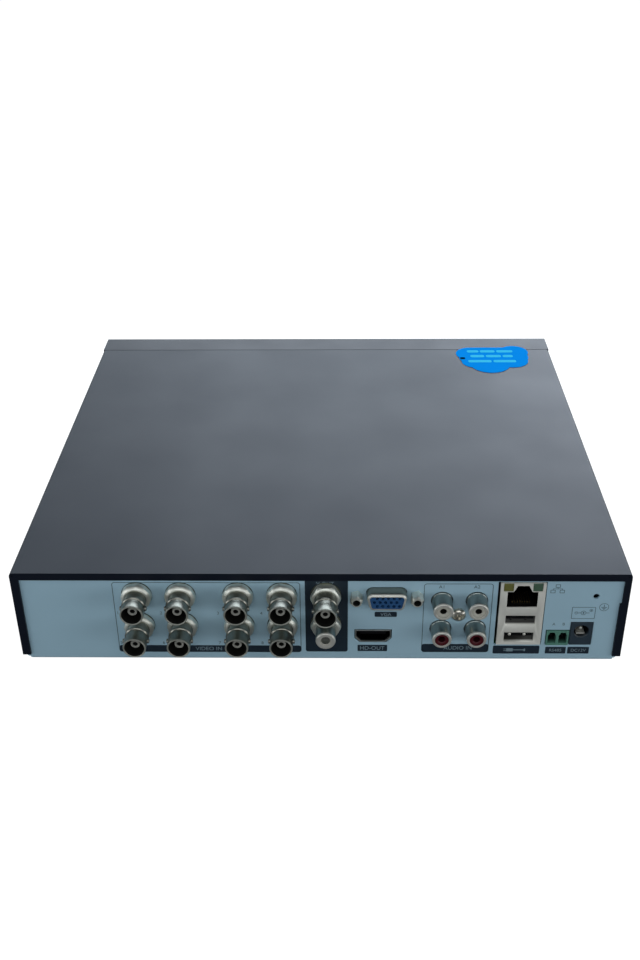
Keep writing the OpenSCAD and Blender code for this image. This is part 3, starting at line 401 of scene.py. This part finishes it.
# the plain sign under the data sockets is a plug on a lead
plug_sign = [plate(206.6, 209.4, 1.7, 3.4, 0.3, high=0.08), plate(209.4, 214.0, 2.35, 2.75, 0.15, high=0.08),
             plate(214.0, 214.6, 1.9, 3.2, 0.1, high=0.08), plate(205.4, 206.6, 1.95, 2.25, 0.1, high=0.08),
             plate(205.4, 206.6, 2.85, 3.15, 0.1, high=0.08)]
skin("plug_sign", plug_sign, pale_ink)
lettering("pale_letters", [
    ("VIDEO IN", 80.0, 1.85, 1.9), ("V-OUT", 129.8, 36.3, 1.7), ("VGA", 155.1, 20.5, 1.6),
    ("HD-OUT", 149.6, 2.4, 1.9), ("AUDIO IN", 186.0, 2.6, 1.9), ("RS485", 227.4, 1.7, 1.5),
    ("DC12V", 237.1, 1.7, 1.5),
], pale_ink)
columns = [(left_edge - (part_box(f"video_in_{i + 1}")[0][0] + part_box(f"video_in_{i + 1}")[1][0]) / 2) / mm
           for i in range(4)]
digits = [(str(i + 1 + 4 * row), columns[i] - 8.8, 21.0 - 15.8 * row, 1.5)
          for i in range(4) for row in range(2)]
lettering("dark_letters", digits + [
    ("A1", 177.9, 34.8, 1.6), ("A2", 192.3, 34.8, 1.6), ("A", 225.5, 15.7, 1.4), ("B", 229.6, 15.7, 1.4),
], line_ink, high=0.04)

# ---- Feet ------------------------------------------------------------------------------------
# Four moulded rubber feet glued under the tray, each a shallow cone with a rounded rim and a
# hollow middle.


def cut_corners(profile, reach, steps=3):
    """A closed profile with each corner replaced by a curve that starts and ends `reach` along its
    two sides: (1-t)(1-t) of the start, 2t(1-t) of the corner and t*t of the end."""
    p = np.asarray(profile, float)
    back, on = np.roll(p, 1, 0) - p, np.roll(p, -1, 0) - p
    long_back, long_on = np.linalg.norm(back, axis=1)[:, None], np.linalg.norm(on, axis=1)[:, None]
    start = p + back / long_back * np.minimum(reach, long_back * 0.45)
    end = p + on / long_on * np.minimum(reach, long_on * 0.45)
    t = np.linspace(0, 1, steps)[None, :, None]
    curve = (1 - t) ** 2 * start[:, None] + 2 * t * (1 - t) * p[:, None] + t ** 2 * end[:, None]
    curve = curve.reshape(-1, 2)
    curve[np.repeat(p[:, 0] == 0, steps), 0] = 0
    return curve


def turned(profile, centre, along="Y", around=56):
    """A closed profile of (radius, distance) in mm, turned through equal angles about the `along`
    direction through `centre`."""
    p = np.asarray(profile) * mm
    angle = np.arange(around) * 2 * math.pi / around
    radius, out = p[:, :1], p[:, 1:] + 0 * angle
    a, b = radius * np.cos(angle), radius * np.sin(angle)
    order = {"X": (out, a, b), "Y": (a, out, b), "Z": (a, b, out)}[along]
    return np.stack(order, -1) + np.asarray(centre)


foot_rubber = textured("foot_rubber", (0.018, 0.018, 0.018), 0.75, 0.0, 3000, 0.00002, 0.2)
low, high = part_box("rubber_feet")
foot_radius, foot_height = 7.5, (high[2] - low[2]) / mm
foot_profile = cut_corners([(0, 0.5), (4.3, 0.5), (4.7, 0), (6.5, 0), (7.0, 0.4),
                            (foot_radius - 0.05, foot_height), (0, foot_height)], 0.25)
feet = [turned(foot_profile, (x, y, 0), "Z")
        for x in (low[0] + foot_radius * mm, high[0] - foot_radius * mm)
        for y in (low[1] + foot_radius * mm, high[1] - foot_radius * mm)]
skin("feet", feet, foot_rubber, stands_for=["rubber_feet"], closed=True)

# ---- Coax sockets ----------------------------------------------------------------------------
# Bayonet sockets turned from brass and nickel plated, in two rows. Each passes through the panel
# and is held by a washer and a six-sided nut; two lugs on the barrel catch the plug.


def middle(node):
    """The middle of a CAD node's box, across and up, and its outer end."""
    low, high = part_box(node)
    return (low[0] + high[0]) / 2, (low[2] + high[2]) / 2, high[1]


# The barrels and the monitor shell take a nickel darkened as painted shade. It is a shaded copy of the lit
# nickel on the nuts.
nickel = textured("nickel_painted_dark", (0.30, 0.30, 0.26), 0.33, 1.0, 2600, 0.000004, 0.14, 300)
# Near-black metal is put in bores, on the middle contacts and on the upper data springs as painted shade.
painted_bore_shade = textured("painted_bore_shade", (0.020, 0.020, 0.018), 0.5, 0.6, 2600, 0.000004, 0.2, 300)
# The front rim of each coax mouth takes a lighter, rougher copy of the nickel as a painted highlight.
lit_mouth_metal = textured("mouth_nickel_painted_lit", (0.42, 0.43, 0.38), 0.45, 0.6, 2600, 0.000004, 0.1, 300)


def barrel(tip):
    """The outline of a coax shell with its mouth `tip` mm out: a threaded root, a ridge, a neck and
    a barrel a little wider than the neck. The last five corners are the mouth and the bore."""
    thread = [(4.6 - 0.12 * (i % 2), 4.1 + 0.2 * i) for i in range(9)]
    return cut_corners([(2.45, -1.0), (4.6, -1.0)] + thread + [
        (4.6, 8.1), (5.05, 8.3), (5.05, 8.95), (4.55, 9.3), (4.55, tip - 4.1), (4.8, tip - 3.9),
        (4.8, tip - 0.4), (4.62, tip), (4.28, tip), (4.05, tip - 0.4), (4.05, 5.6), (2.45, 5.6)
    ], 0.12)


lug_profile = cut_corners([(0, -0.6), (0.98, -0.6), (0.98, 0.62), (0, 0.62)], 0.3)
sockets = [f"video_in_{i + 1}" for i in range(8)] + ["video_out"]
roots, tips = [], []
for node in sockets:
    x, z, mouth = middle(node)
    root = np.array([x, panel, z])
    tip = (mouth - panel) / mm
    lugs = [turned(lug_profile, root + np.array([side * 4.9, tip - 5.1, 0]) * mm, "X", 16)
            for side in (-1, 1)]
    for lug, side in zip(lugs, (-1, 1)):
        lug[..., 0] = root[0] + side * np.abs(lug[..., 0] - root[0])
    outline = barrel(tip)
    # Each barrel's bore is painted near-black as shade, and its mouth rim lighter as a painted highlight.
    skin(node + "_socket", [turned(outline, root)] + lugs, nickel, stands_for=[node], closed=True,
         inside=[(lit_mouth_metal, len(outline) - 17), (painted_bore_shade, len(outline) - 9)])
    roots.append(root)
    tips.append(tip)


def tube(tip):
    """The insulating tube, which narrows towards its end well inside the mouth."""
    return cut_corners([(1.1, -0.9), (2.4, -0.9), (2.4, tip - 6), (2.0, tip - 4.5), (1.95, tip - 2.9),
                        (1.1, tip - 2.9)], 0.25, 4)


def contact(tip):
    """The middle contact: a tube split off flush inside the insulator, its bore 5 mm deep."""
    return cut_corners([(0, -0.9), (1.05, -0.9), (1.05, tip - 3.3), (0.75, tip - 3.4), (0.75, tip - 8),
                        (0, tip - 8)], 0.08)


cream_insulator = textured("cream_insulator", (0.40, 0.40, 0.36), 0.4, 0.0, 3000, 0.000004, 0.08, 300)
gold = textured("gold_contact", (0.42, 0.31, 0.13), 0.3, 1.0, 3000, 0.000003, 0.1, 300)
skin("coax_insulator_tubes", [turned(tube(t), f, around=40) for f, t in zip(roots, tips)], cream_insulator,
     stands_for=["coax_insulators"], closed=True)
# The middle contacts are painted near-black as shade inside the mouth, not in their own plated colour.
skin("coax_contact_tubes", [turned(contact(t), f, around=24) for f, t in zip(roots, tips)], painted_bore_shade,
     stands_for=["coax_contacts"], closed=True)


def six_sided(centre, side, bore, turn):
    """A nut: at each angle the outside lies on a hexagon with its flats `side` mm from the middle, but
    never further out than a rounded front that narrows to 5.05 mm, and the inside is round."""
    angle = np.arange(96) * 2 * math.pi / 96
    hexagon = side / np.cos((angle + math.radians(turn)) % (math.pi / 3) - math.pi / 6)
    deep = np.array([0.5, 0.5, 0.75, 2.3, 2.9, 3.4, 3.75, 3.9, 3.9, 0.5])
    limit = np.array([bore, 6.2, 6.4, 6.4, 6.2, 5.8, 5.35, 5.05, bore, bore])[:, None]
    radius = np.minimum(hexagon[None, :], limit)
    points = np.stack([radius * np.cos(angle), deep[:, None] + 0 * angle, radius * np.sin(angle)], -1)
    return points * mm + np.asarray(centre)


# The nuts, jack screw posts and power pin take a nickel brightened as painted light. It is a lit copy of the
# barrels' darkened nickel.
lit_nickel = textured("nickel_painted_lit", (0.86, 0.88, 0.80), 0.45, 0.85, 2600, 0.000004, 0.06, 300)
washer_steel = textured("washer_steel", (0.16, 0.17, 0.14), 0.4, 1.0, 2600, 0.000004, 0.15, 300)
out_x, out_z, _ = middle("audio_out")
held = roots + [(out_x, panel, out_z)]
turns = [9, -7, 4, -11, 12, 6, -5, 8, 0, 0]
bores = [4.63] * 9 + [3.95]
flats = [6.1] * 8 + [5.75] * 2
skin("panel_nuts", [six_sided(*nut) for nut in zip(held, flats, bores, turns)], lit_nickel,
     stands_for=["coax_nuts"], closed=True, sharp=22)
flat_rings = [cut_corners([(b, 0.02), (6.4, 0.02), (6.4, 0.46), (b, 0.46)], 0.12) for b in bores]
skin("washers", [turned(r, f, around=72) for r, f in zip(flat_rings, held)], washer_steel,
     stands_for=["coax_washers"], closed=True)
black_plastic = textured("black_moulding", (0.016, 0.016, 0.018), 0.45, 0.0, 2600, 0.00002, 0.2, 200)
carried_over("coax_housings", black_plastic, 0.0003)

# ---- Audio sockets ---------------------------------------------------------------------------
# Phono sockets: a tin-plated sleeve with a rolled lip round a coloured plastic core that has a
# hole for the pin. Four share one housing behind the panel, held by a cross-head screw.
# The sleeve's outside is a darkened nickel as painted shade. Its rolled lip, of the same sheet, takes a
# brightened tin as a painted highlight.
sleeve_metal = textured("sleeve_nickel", (0.30, 0.33, 0.31), 0.30, 1.0, 2600, 0.000004, 0.08, 300)
highlight_tin = textured("tin_painted_highlight", (0.86, 0.85, 0.78), 0.42, 0.7, 2600, 0.000004, 0.06, 300)


def sleeve(reach, lip):
    """The outline of a thin tube with a narrow collar at the panel, and its mouth rolled in to the
    radius `lip`; the last five corners are the rolled lip."""
    collar = 4.4 if lip > 2.5 else 3.9
    return cut_corners([(3.5, -1.0), (collar, -1.0), (collar, 0.6), (4.15, 0.7), (4.15, reach - 0.8),
                        (3.95, reach - 0.15), (3.6, reach), (lip, reach - 0.1), (lip, reach - 0.42),
                        (3.5, reach - 0.5)], 0.18)


def core(reach, hole, deep):
    """The outline of a plastic core that fills the sleeve and has a hole of radius `hole` down its
    middle, `deep` mm from its face; the last three corners are the hole."""
    return cut_corners([(0, -1.0), (3.45, -1.0), (3.45, reach - 0.5), (hole + 0.5, reach - 0.5),
                        (hole, reach - 0.75), (hole, reach - 1.2), (hole, reach - deep),
                        (0, reach - deep)], 0.12)


# Near-black is put in the white cores' holes as painted shade.
white_core_hole_shade = textured("white_core_hole_shade", (0.012, 0.010, 0.009), 0.6, 0.0, 2600, 0.000004, 0.1, 200)
white_core = textured("white_core", (0.50, 0.49, 0.43), 0.38, 0.0, 2600, 0.000006, 0.05, 200)
red_core = textured("red_core", (0.075, 0.003, 0.008), 0.35, 0.0, 2600, 0.000006, 0.1, 200)
audio_jacks = [f"audio_in_{i + 1}" for i in range(4)] + ["audio_out"]
audio_roots, reaches = [], []
for node in audio_jacks:
    x, z, mouth = middle(node)
    audio_roots.append((x, panel, z))
    reaches.append((mouth - panel) / mm)
    lip = 2.3 if node == "audio_out" else 2.9
    # Dark sleeve and bright lip are shaded and lit copies of one metal.
    skin(node + "_sleeve", [turned(sleeve(reaches[-1], lip), audio_roots[-1])], sleeve_metal,
         stands_for=[node], closed=True, inside=[(highlight_tin, 13)])
hole_radii, hole_depths = [1.4, 1.4, 1.5, 1.5, 1.8], [7.6] * 4 + [2.6]
cores = [turned(core(reach, hole, deep), root)
         for root, reach, hole, deep in zip(audio_roots, reaches, hole_radii, hole_depths)]
# The audio-out core's shallow hole is painted grey as shade in the white core.
out_core_hole_shade = textured("out_core_hole_shade", (0.15, 0.16, 0.14), 0.5, 0.0, 2600, 0.000004, 0.1, 200)
# The red cores' holes take a darker copy of the red as painted shade.
red_core_hole_shade = textured("red_core_hole_shade", (0.034, 0.002, 0.005), 0.5, 0.0, 2600, 0.000004, 0.1, 200)
skin("audio_white_cores", cores[:2], white_core,
     stands_for=["audio_white_inserts"], closed=True, inside=[(white_core_hole_shade, 15)])
skin("audio_out_core", [cores[4]], white_core,
     stands_for=["audio_white_inserts"], closed=True, inside=[(out_core_hole_shade, 12)])
skin("audio_red_cores", cores[2:4], red_core,
     stands_for=["audio_red_inserts"], closed=True, inside=[(red_core_hole_shade, 15)])
carried_over("audio_housing", black_plastic, 0.0003)

# ---- Monitor and digital video sockets -------------------------------------------------------
# The monitor socket is a pressed D-shaped shell round a blue core with fifteen holes, between two
# jack screws. The digital socket under it is a folded tin-plated shell round a black tongue.


def d_shape(width, lean, tall, radius, steps=6):
    """A loop round a D socket `width` mm across the top and `lean` less across the bottom: the hull of
    four circles, traced through the angles between one side's normal and the next."""
    tilt = math.atan2(lean / 2, tall)
    stops = [(-tilt, math.pi / 2), (math.pi / 2, math.pi + tilt), (math.pi + tilt, 1.5 * math.pi),
             (1.5 * math.pi, 2 * math.pi - tilt)]
    corners = [(1, 1, 0), (-1, 1, 0), (-1, -1, lean), (1, -1, lean)]
    loop = []
    for (start, stop), (sx, sy, less) in zip(stops, corners):
        angle = np.linspace(start, stop, steps)
        middle_x, middle_y = sx * ((width - less) / 2 - radius * 1.05), sy * (tall / 2 - radius)
        loop.append(np.stack([middle_x + radius * np.cos(angle), middle_y + radius * np.sin(angle)], 1))
    return np.concatenate(loop)


def shell_loop(inset):
    """The monitor shell's outline, `inset` mm in from its outside."""
    return d_shape(16.6 - 2 * inset, 1.4, 8.3 - 2 * inset, 2.4 - inset)


turn = np.radians(np.linspace(0, 90, 7))
insets = [0.45, 0, *(1.15 * (1 - np.cos(turn))), 1.15, 1.1, 0.45]
outs = [-1.0, -1.0, *(4.0 + 1.2 * np.sin(turn)), 5.1, 4.85, 4.8]
shell_x, shell_z, _ = middle("monitor_shell")
shell_u, shell_h = (left_edge - shell_x) / mm, (shell_z - skirt) / mm
shell = stacked([shell_loop(i) for i in insets], outs, shell_u, shell_h)
# The shell's rolled front edge takes the bright tin as a painted highlight, and the rest the darkened nickel.
skin("monitor_shell_pressing", [shell], nickel, stands_for=["monitor_shell"], closed=True,
     inside=[(highlight_tin, 3)])
blue_core = textured("blue_core", (0.020, 0.090, 0.24), 0.42, 0.0, 2600, 0.000008, 0.1, 200)
carried_over("monitor_insert", blue_core, 0.0001)
carried_over("monitor_bracket", black_plastic, 0.0003)


def jack_screw(centre):
    """A six-sided post with a chamfered end and a round bore with shallow turns of thread."""
    angle = np.arange(96) * 2 * math.pi / 96
    hexagon = 4.76 / 2 / np.cos((angle + math.radians(17)) % (math.pi / 3) - math.pi / 6)
    bore_at = np.linspace(5.1, 0.8, 26)
    outside = [(0, 0.0), (99, 0.0), (99, 4.2), (2.25, 4.7), (1.95, 5.2), (1.5, 5.2)]
    inside = [(1.34 + 0.09 * (i % 2), y) for i, y in enumerate(bore_at)] + [(0, 0.8)]
    limit, out = np.array(outside + inside).T[..., None]
    radius = np.minimum(hexagon, limit)
    post = np.stack([radius * np.cos(angle), out + 0 * angle, radius * np.sin(angle)], -1)
    return post * mm + np.asarray(centre)


jack_pitch = 24.99 * mm
posts = [(shell_x + side * jack_pitch / 2, panel, shell_z) for side in (-1, 1)]
# The posts take the lit nickel, and their bores the near-black painted shade.
skin("jack_posts", [jack_screw(p) for p in posts], lit_nickel, stands_for=["monitor_jack_screws"],
     sharp=25, inside=[(painted_bore_shade, 5)])
# The tin is painted down to a twentieth of its colour from just behind the panel inwards, as shade inside the
# digital socket. The terminal pins and the clock battery take the same painted shade wherever they lie behind
# the panel.
tin = textured("tin_plate", (0.50, 0.52, 0.50), 0.4, 1.0, 900, 0.000004, 0.06, 200,
               shade=(panel - 0.1 * mm, panel - 1.2 * mm))
carried_over("digital_shell", tin, 0.0001)
socket_black = textured("socket_black", (0.003, 0.003, 0.004), 0.6, 0.0, 2600, 0.00001, 0.2, 200, spec=0.15)
carried_over("digital_tongue", socket_black, 0.0001)

# ---- Network and data sockets ----------------------------------------------------------------
# One tin-plated cage holds a network socket with two status lights over two flat data sockets.
# Sprung strips pressed out of the cage reach into each data opening.
# The cage's tin is painted darker from just behind the panel inwards, as shade inside its openings.
cage_tin = textured("cage_tin", (0.92, 0.91, 0.84), 0.5, 0.3, 900, 0.000004, 0.05, 200,
                    shade=(panel - 0.2 * mm, panel - 1.6 * mm))
carried_over("network_cage", cage_tin, 0, join=False)
carried_over("network_insert", socket_black, 0.0001)
carried_over("network_contacts", gold, 0.00005)
carried_over("data_tongues", socket_black, 0.0001)
spring_profile = cut_corners([(0, -0.3), (0.7, -0.3), (0.7, 0.1), (0, 0.5)], 0.15)
tongue_low, tongue_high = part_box("data_tongues")
data_u = (left_edge - (tongue_low[0] + tongue_high[0]) / 2) / mm
data_heights = [(tongue_low[2] - skirt) / mm + 0.6, (tongue_high[2] - skirt) / mm - 2.2]
springs = [[turned(spring_profile, (left_edge - (data_u + u) * mm, panel - 1.1 * mm, skirt + h * mm), "Y", 16)
            for u in (-3.8, 2.4)] for h in data_heights]
# The lower springs take the bright tin as painted highlight and the upper ones the near-black painted shade,
# though both are the same pressed tin.
skin("lower_springs", springs[0], highlight_tin, closed=True)
skin("upper_springs", springs[1], painted_bore_shade, closed=True)
low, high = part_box("network_lights")
for side, colour in ((1, (0.16, 0.16, 0.045)), (-1, (0.07, 0.13, 0.085))):
    lens = textured(f"lens_{side}", colour, 0.25, 0.0, 2600, 0.000004, 0.1, 200)
    u = (left_edge - (low[0] + high[0]) / 2) / mm - side * 6
    h = ((low[2] + high[2]) / 2 - skirt) / mm
    loop, inner = soft_rectangle(3.96, 3.86, 0.3), soft_rectangle(3.5, 3.4, 0.2)
    block = stacked([loop * 0, loop, loop, inner, inner * 0], [-8, -8, 0, 0.22, 0.26], u, h)
    skin(f"network_light_{side + 2}", [block], lens, stands_for=["network_lights"])

# ---- Control terminal and power socket -------------------------------------------------------
# A green screw terminal with two wire openings for the camera control line, and a black moulded
# power socket with a middle pin and a spring contact.
# The green is painted darker from just proud of the panel inwards, as shade in the wire openings.
green = textured("terminal_green", (0.10, 0.26, 0.20), 0.42, 0.0, 2600, 0.00001, 0.12, 200,
                 shade=(panel + 0.5 * mm, panel - 2.6 * mm))
carried_over("terminal_block", green, 0.00015)
carried_over("terminal_pins", tin, 0.00008)
# The moulding is painted darker from just behind the panel inwards, as shade in the power socket's hole.
jack_plastic = textured("jack_moulding", (0.026, 0.044, 0.062), 0.42, 0.0, 2600, 0.00001, 0.15, 200,
                        shade=(panel - 0.1 * mm, panel - 1.6 * mm))
carried_over("dc_jack", jack_plastic, 0.0002)
pin_x = middle("dc_jack_contacts")[0]
pin_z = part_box("dc_jack_contacts")[1][2] - 1.0 * mm
pin_outline = cut_corners([(0, -9.3), (0.95, -9.3), (0.95, -2.6), (0.7, -1.7), (0, -1.5)], 0.2)
skin("power_pin", [turned(pin_outline, (pin_x, panel, pin_z), around=24)], lit_nickel,
     stands_for=["dc_jack_contacts"], closed=True)
blade = soft_rectangle(3.6, 0.9, 0.3)
bent = stacked([blade * 0, blade, blade, blade * 0], [-7.0, -7.0, -1.2, -1.2],
               (left_edge - pin_x) / mm, (pin_z - skirt) / mm - 2.1)
# The spring blade takes the bright tin as a painted highlight.
skin("power_spring", [bent], highlight_tin, stands_for=["dc_jack_contacts"])

# ---- Main board ------------------------------------------------------------------------------
# A green fibreglass board on five posts, with the larger parts standing on it. The bright screws
# hold it and the other inner parts, and one holds the audio sockets to the panel.
board_green = textured("board_green", (0.012, 0.10, 0.045), 0.38, 0.0, 1200, 0.00002, 0.3, 400)
carried_over("main_board", board_green, 0.0001)
carried_over("board_chips", black_plastic, 0.0001)
can_sleeve = textured("can_sleeve", (0.02, 0.02, 0.035), 0.35, 0.0, 2600, 0.00001, 0.2, 200)
carried_over("board_capacitors", can_sleeve, 0.0003)
carried_over("clock_battery", tin, 0.0002)
anodised = textured("black_anodised", (0.03, 0.032, 0.036), 0.42, 0.6, 3000, 0.00001, 0.1, 200)
carried_over("heat_sink", anodised, 0.0001)
screw_metal = textured("screw_nickel", (0.74, 0.71, 0.62), 0.3, 1.0, 2600, 0.000004, 0.1, 300)
carried_over("bright_screws", screw_metal, 0.0001)

# ---- Disk drive ------------------------------------------------------------------------------
# A 3.5 inch drive: a cast case screwed to the tray's seats under a thin lid, with a polished
# platter that turns on its spindle and an arm that swings over it.
cast_metal = textured("cast_aluminium", (0.40, 0.41, 0.42), 0.5, 1.0, 1500, 0.00003, 0.1, 150)
carried_over("drive_casting", cast_metal, 0.0004)
lid_metal = textured("lid_aluminium", (0.60, 0.61, 0.62), 0.32, 1.0, 2500, 0.000008, 0.05, 100)
carried_over("drive_lid", lid_metal, 0.0002)
mirror_metal = textured("platter_mirror", (0.82, 0.83, 0.84), 0.05, 1.0, 2500, 0.0000005, 0.01, 50)
carried_over("drive_platters", mirror_metal, 0.0001, body="platters")
carried_over("drive_arm", lid_metal, 0.0002, body="head_arm")

# ---- Fan and leads ---------------------------------------------------------------------------
# A 40 mm fan screwed to the tray's side tab, blowing out through the grille, and the leads that
# join the drive, the fan and the front board to the main board.
carried_over("fan_frame", black_plastic, 0.0003)
carried_over("fan_rotor", black_plastic, 0.0002, body="fan_rotor")
red_cover = textured("lead_covering", (0.35, 0.02, 0.02), 0.4, 0.0, 2600, 0.00001, 0.1, 200)
leads = carried_over("inner_leads", red_cover, 0, angle=60)

# ---- Front -----------------------------------------------------------------------------------
# A glossy black moulding that snaps onto the tray, with a smoked window over the status lights
# and the remote receiver on a small board.
carried_over("front_board", board_green, 0.0001)
light_plastic = textured("light_plastic", (0.62, 0.63, 0.65), 0.2, 0.0, 2600, 0.000004, 0.05, 200)
carried_over("status_lights", light_plastic, 0.0003)
bezel_plastic = textured("bezel_gloss", (0.012, 0.012, 0.018), 0.47, 0.0, 3200, 0.000004, 0.1, 40, spec=0.32)
carried_over("front_bezel", bezel_plastic, 0.0005)
smoke, nodes, links, shader = new_material("smoked_window", (0.10, 0.02, 0.025), 0.06)
shader.inputs["Transmission Weight"].default_value = 0.85
shader.inputs["IOR"].default_value = 1.49
where = nodes.new("ShaderNodeTexCoord")
haze = nodes.new("ShaderNodeTexNoise")
haze.inputs["Scale"].default_value = 250
rough = nodes.new("ShaderNodeMapRange")
rough.inputs["To Min"].default_value = 0.04
rough.inputs["To Max"].default_value = 0.09
links.new(where.outputs["Object"], haze.inputs["Vector"])
links.new(haze.outputs["Fac"], rough.inputs["Value"])
links.new(rough.outputs["Result"], shader.inputs["Roughness"])
carried_over("front_window", smoke, 0.0004)

# ---- Cover -----------------------------------------------------------------------------------
# One sheet of steel folded over the top and both sides with a turned-in rim at the rear, powder
# coated black with a fine texture. Countersunk screws hold it to the tray's flanges.
powder_coat = textured("powder_coat", (0.002, 0.005, 0.014), 0.48, 0.0, 2300, 0.00002, 0.08, 25, spec=0.3)
carried_over("top_cover", powder_coat, 0.00025)
black_oxide = textured("black_oxide", (0.02, 0.02, 0.022), 0.35, 0.7, 2600, 0.000006, 0.2, 300)
carried_over("cover_screws", black_oxide, 0.00008)

# ---- Label -----------------------------------------------------------------------------------
# A blue printed film in the shape of a cloud, stuck across the seam of the bezel and the cover,
# with three rows of pale printing and a small dark bar in one corner painted as the shadow of a lifted edge.
film_blue = textured("film_blue", (0.004, 0.31, 0.92), 0.5, 0.0, 2600, 0.000002, 0.06, 60, spec=0.0)
carried_over("cloud_sticker", film_blue, 0)


def bar(x0, x1, y, wide, top, low=-0.01, high=0.03):
    """A thin rounded strip on the label from `x0` to `x1` and `wide` across, and from `low` to `high`
    over the label's top, all in mm."""
    loop = soft_rectangle(x1 - x0, wide, wide * 0.35)
    grid = np.empty((4, len(loop), 3))
    for i, (scale, high) in enumerate(((0, low), (1, low), (1, high), (0, high))):
        grid[i, :, 0] = ((x0 + x1) / 2 + scale * loop[:, 0]) * mm
        grid[i, :, 1] = (y + scale * loop[:, 1]) * mm
        grid[i, :, 2] = top + high * mm
    return grid


label_print = textured("label_print", (0.060, 0.64, 1.0), 0.5, 0.0, 2600, 0.000002, 0.1, 900, spec=0.0)
label_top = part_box("cloud_sticker")[1][2]
rows = [(-106.1, [(-106.5, -97.3), (-96.4, -88.0), (-87.2, -80.6)]),
        (-99.7, [(-105.9, -100.2), (-99.2, -90.7), (-89.8, -82.0)]),
        (-93.0, [(-106.9, -94.3), (-93.2, -80.2)])]
bars = [bar(x0, x1, y, 3.0, label_top) for y, words in rows for x0, x1 in words]
skin("label_rows", bars, label_print)
skin("label_end", [bar(-114.4, -103.4, -99.4, 10.5, label_top, -0.21, -0.005)], film_blue)
# A small near-black bar, painted as the shadow under a lifted corner of the film, which is not modelled.
lifted_corner_shadow = textured("lifted_corner_shadow", (0.004, 0.02, 0.04), 0.6, 0.0, 2600, 0.000002, 0.1, 300, spec=0.0)
skin("label_corner_shadow", [bar(-78.8, -76.0, -97.0, 2.6, label_top)], lifted_corner_shadow)

low, high = cad_box
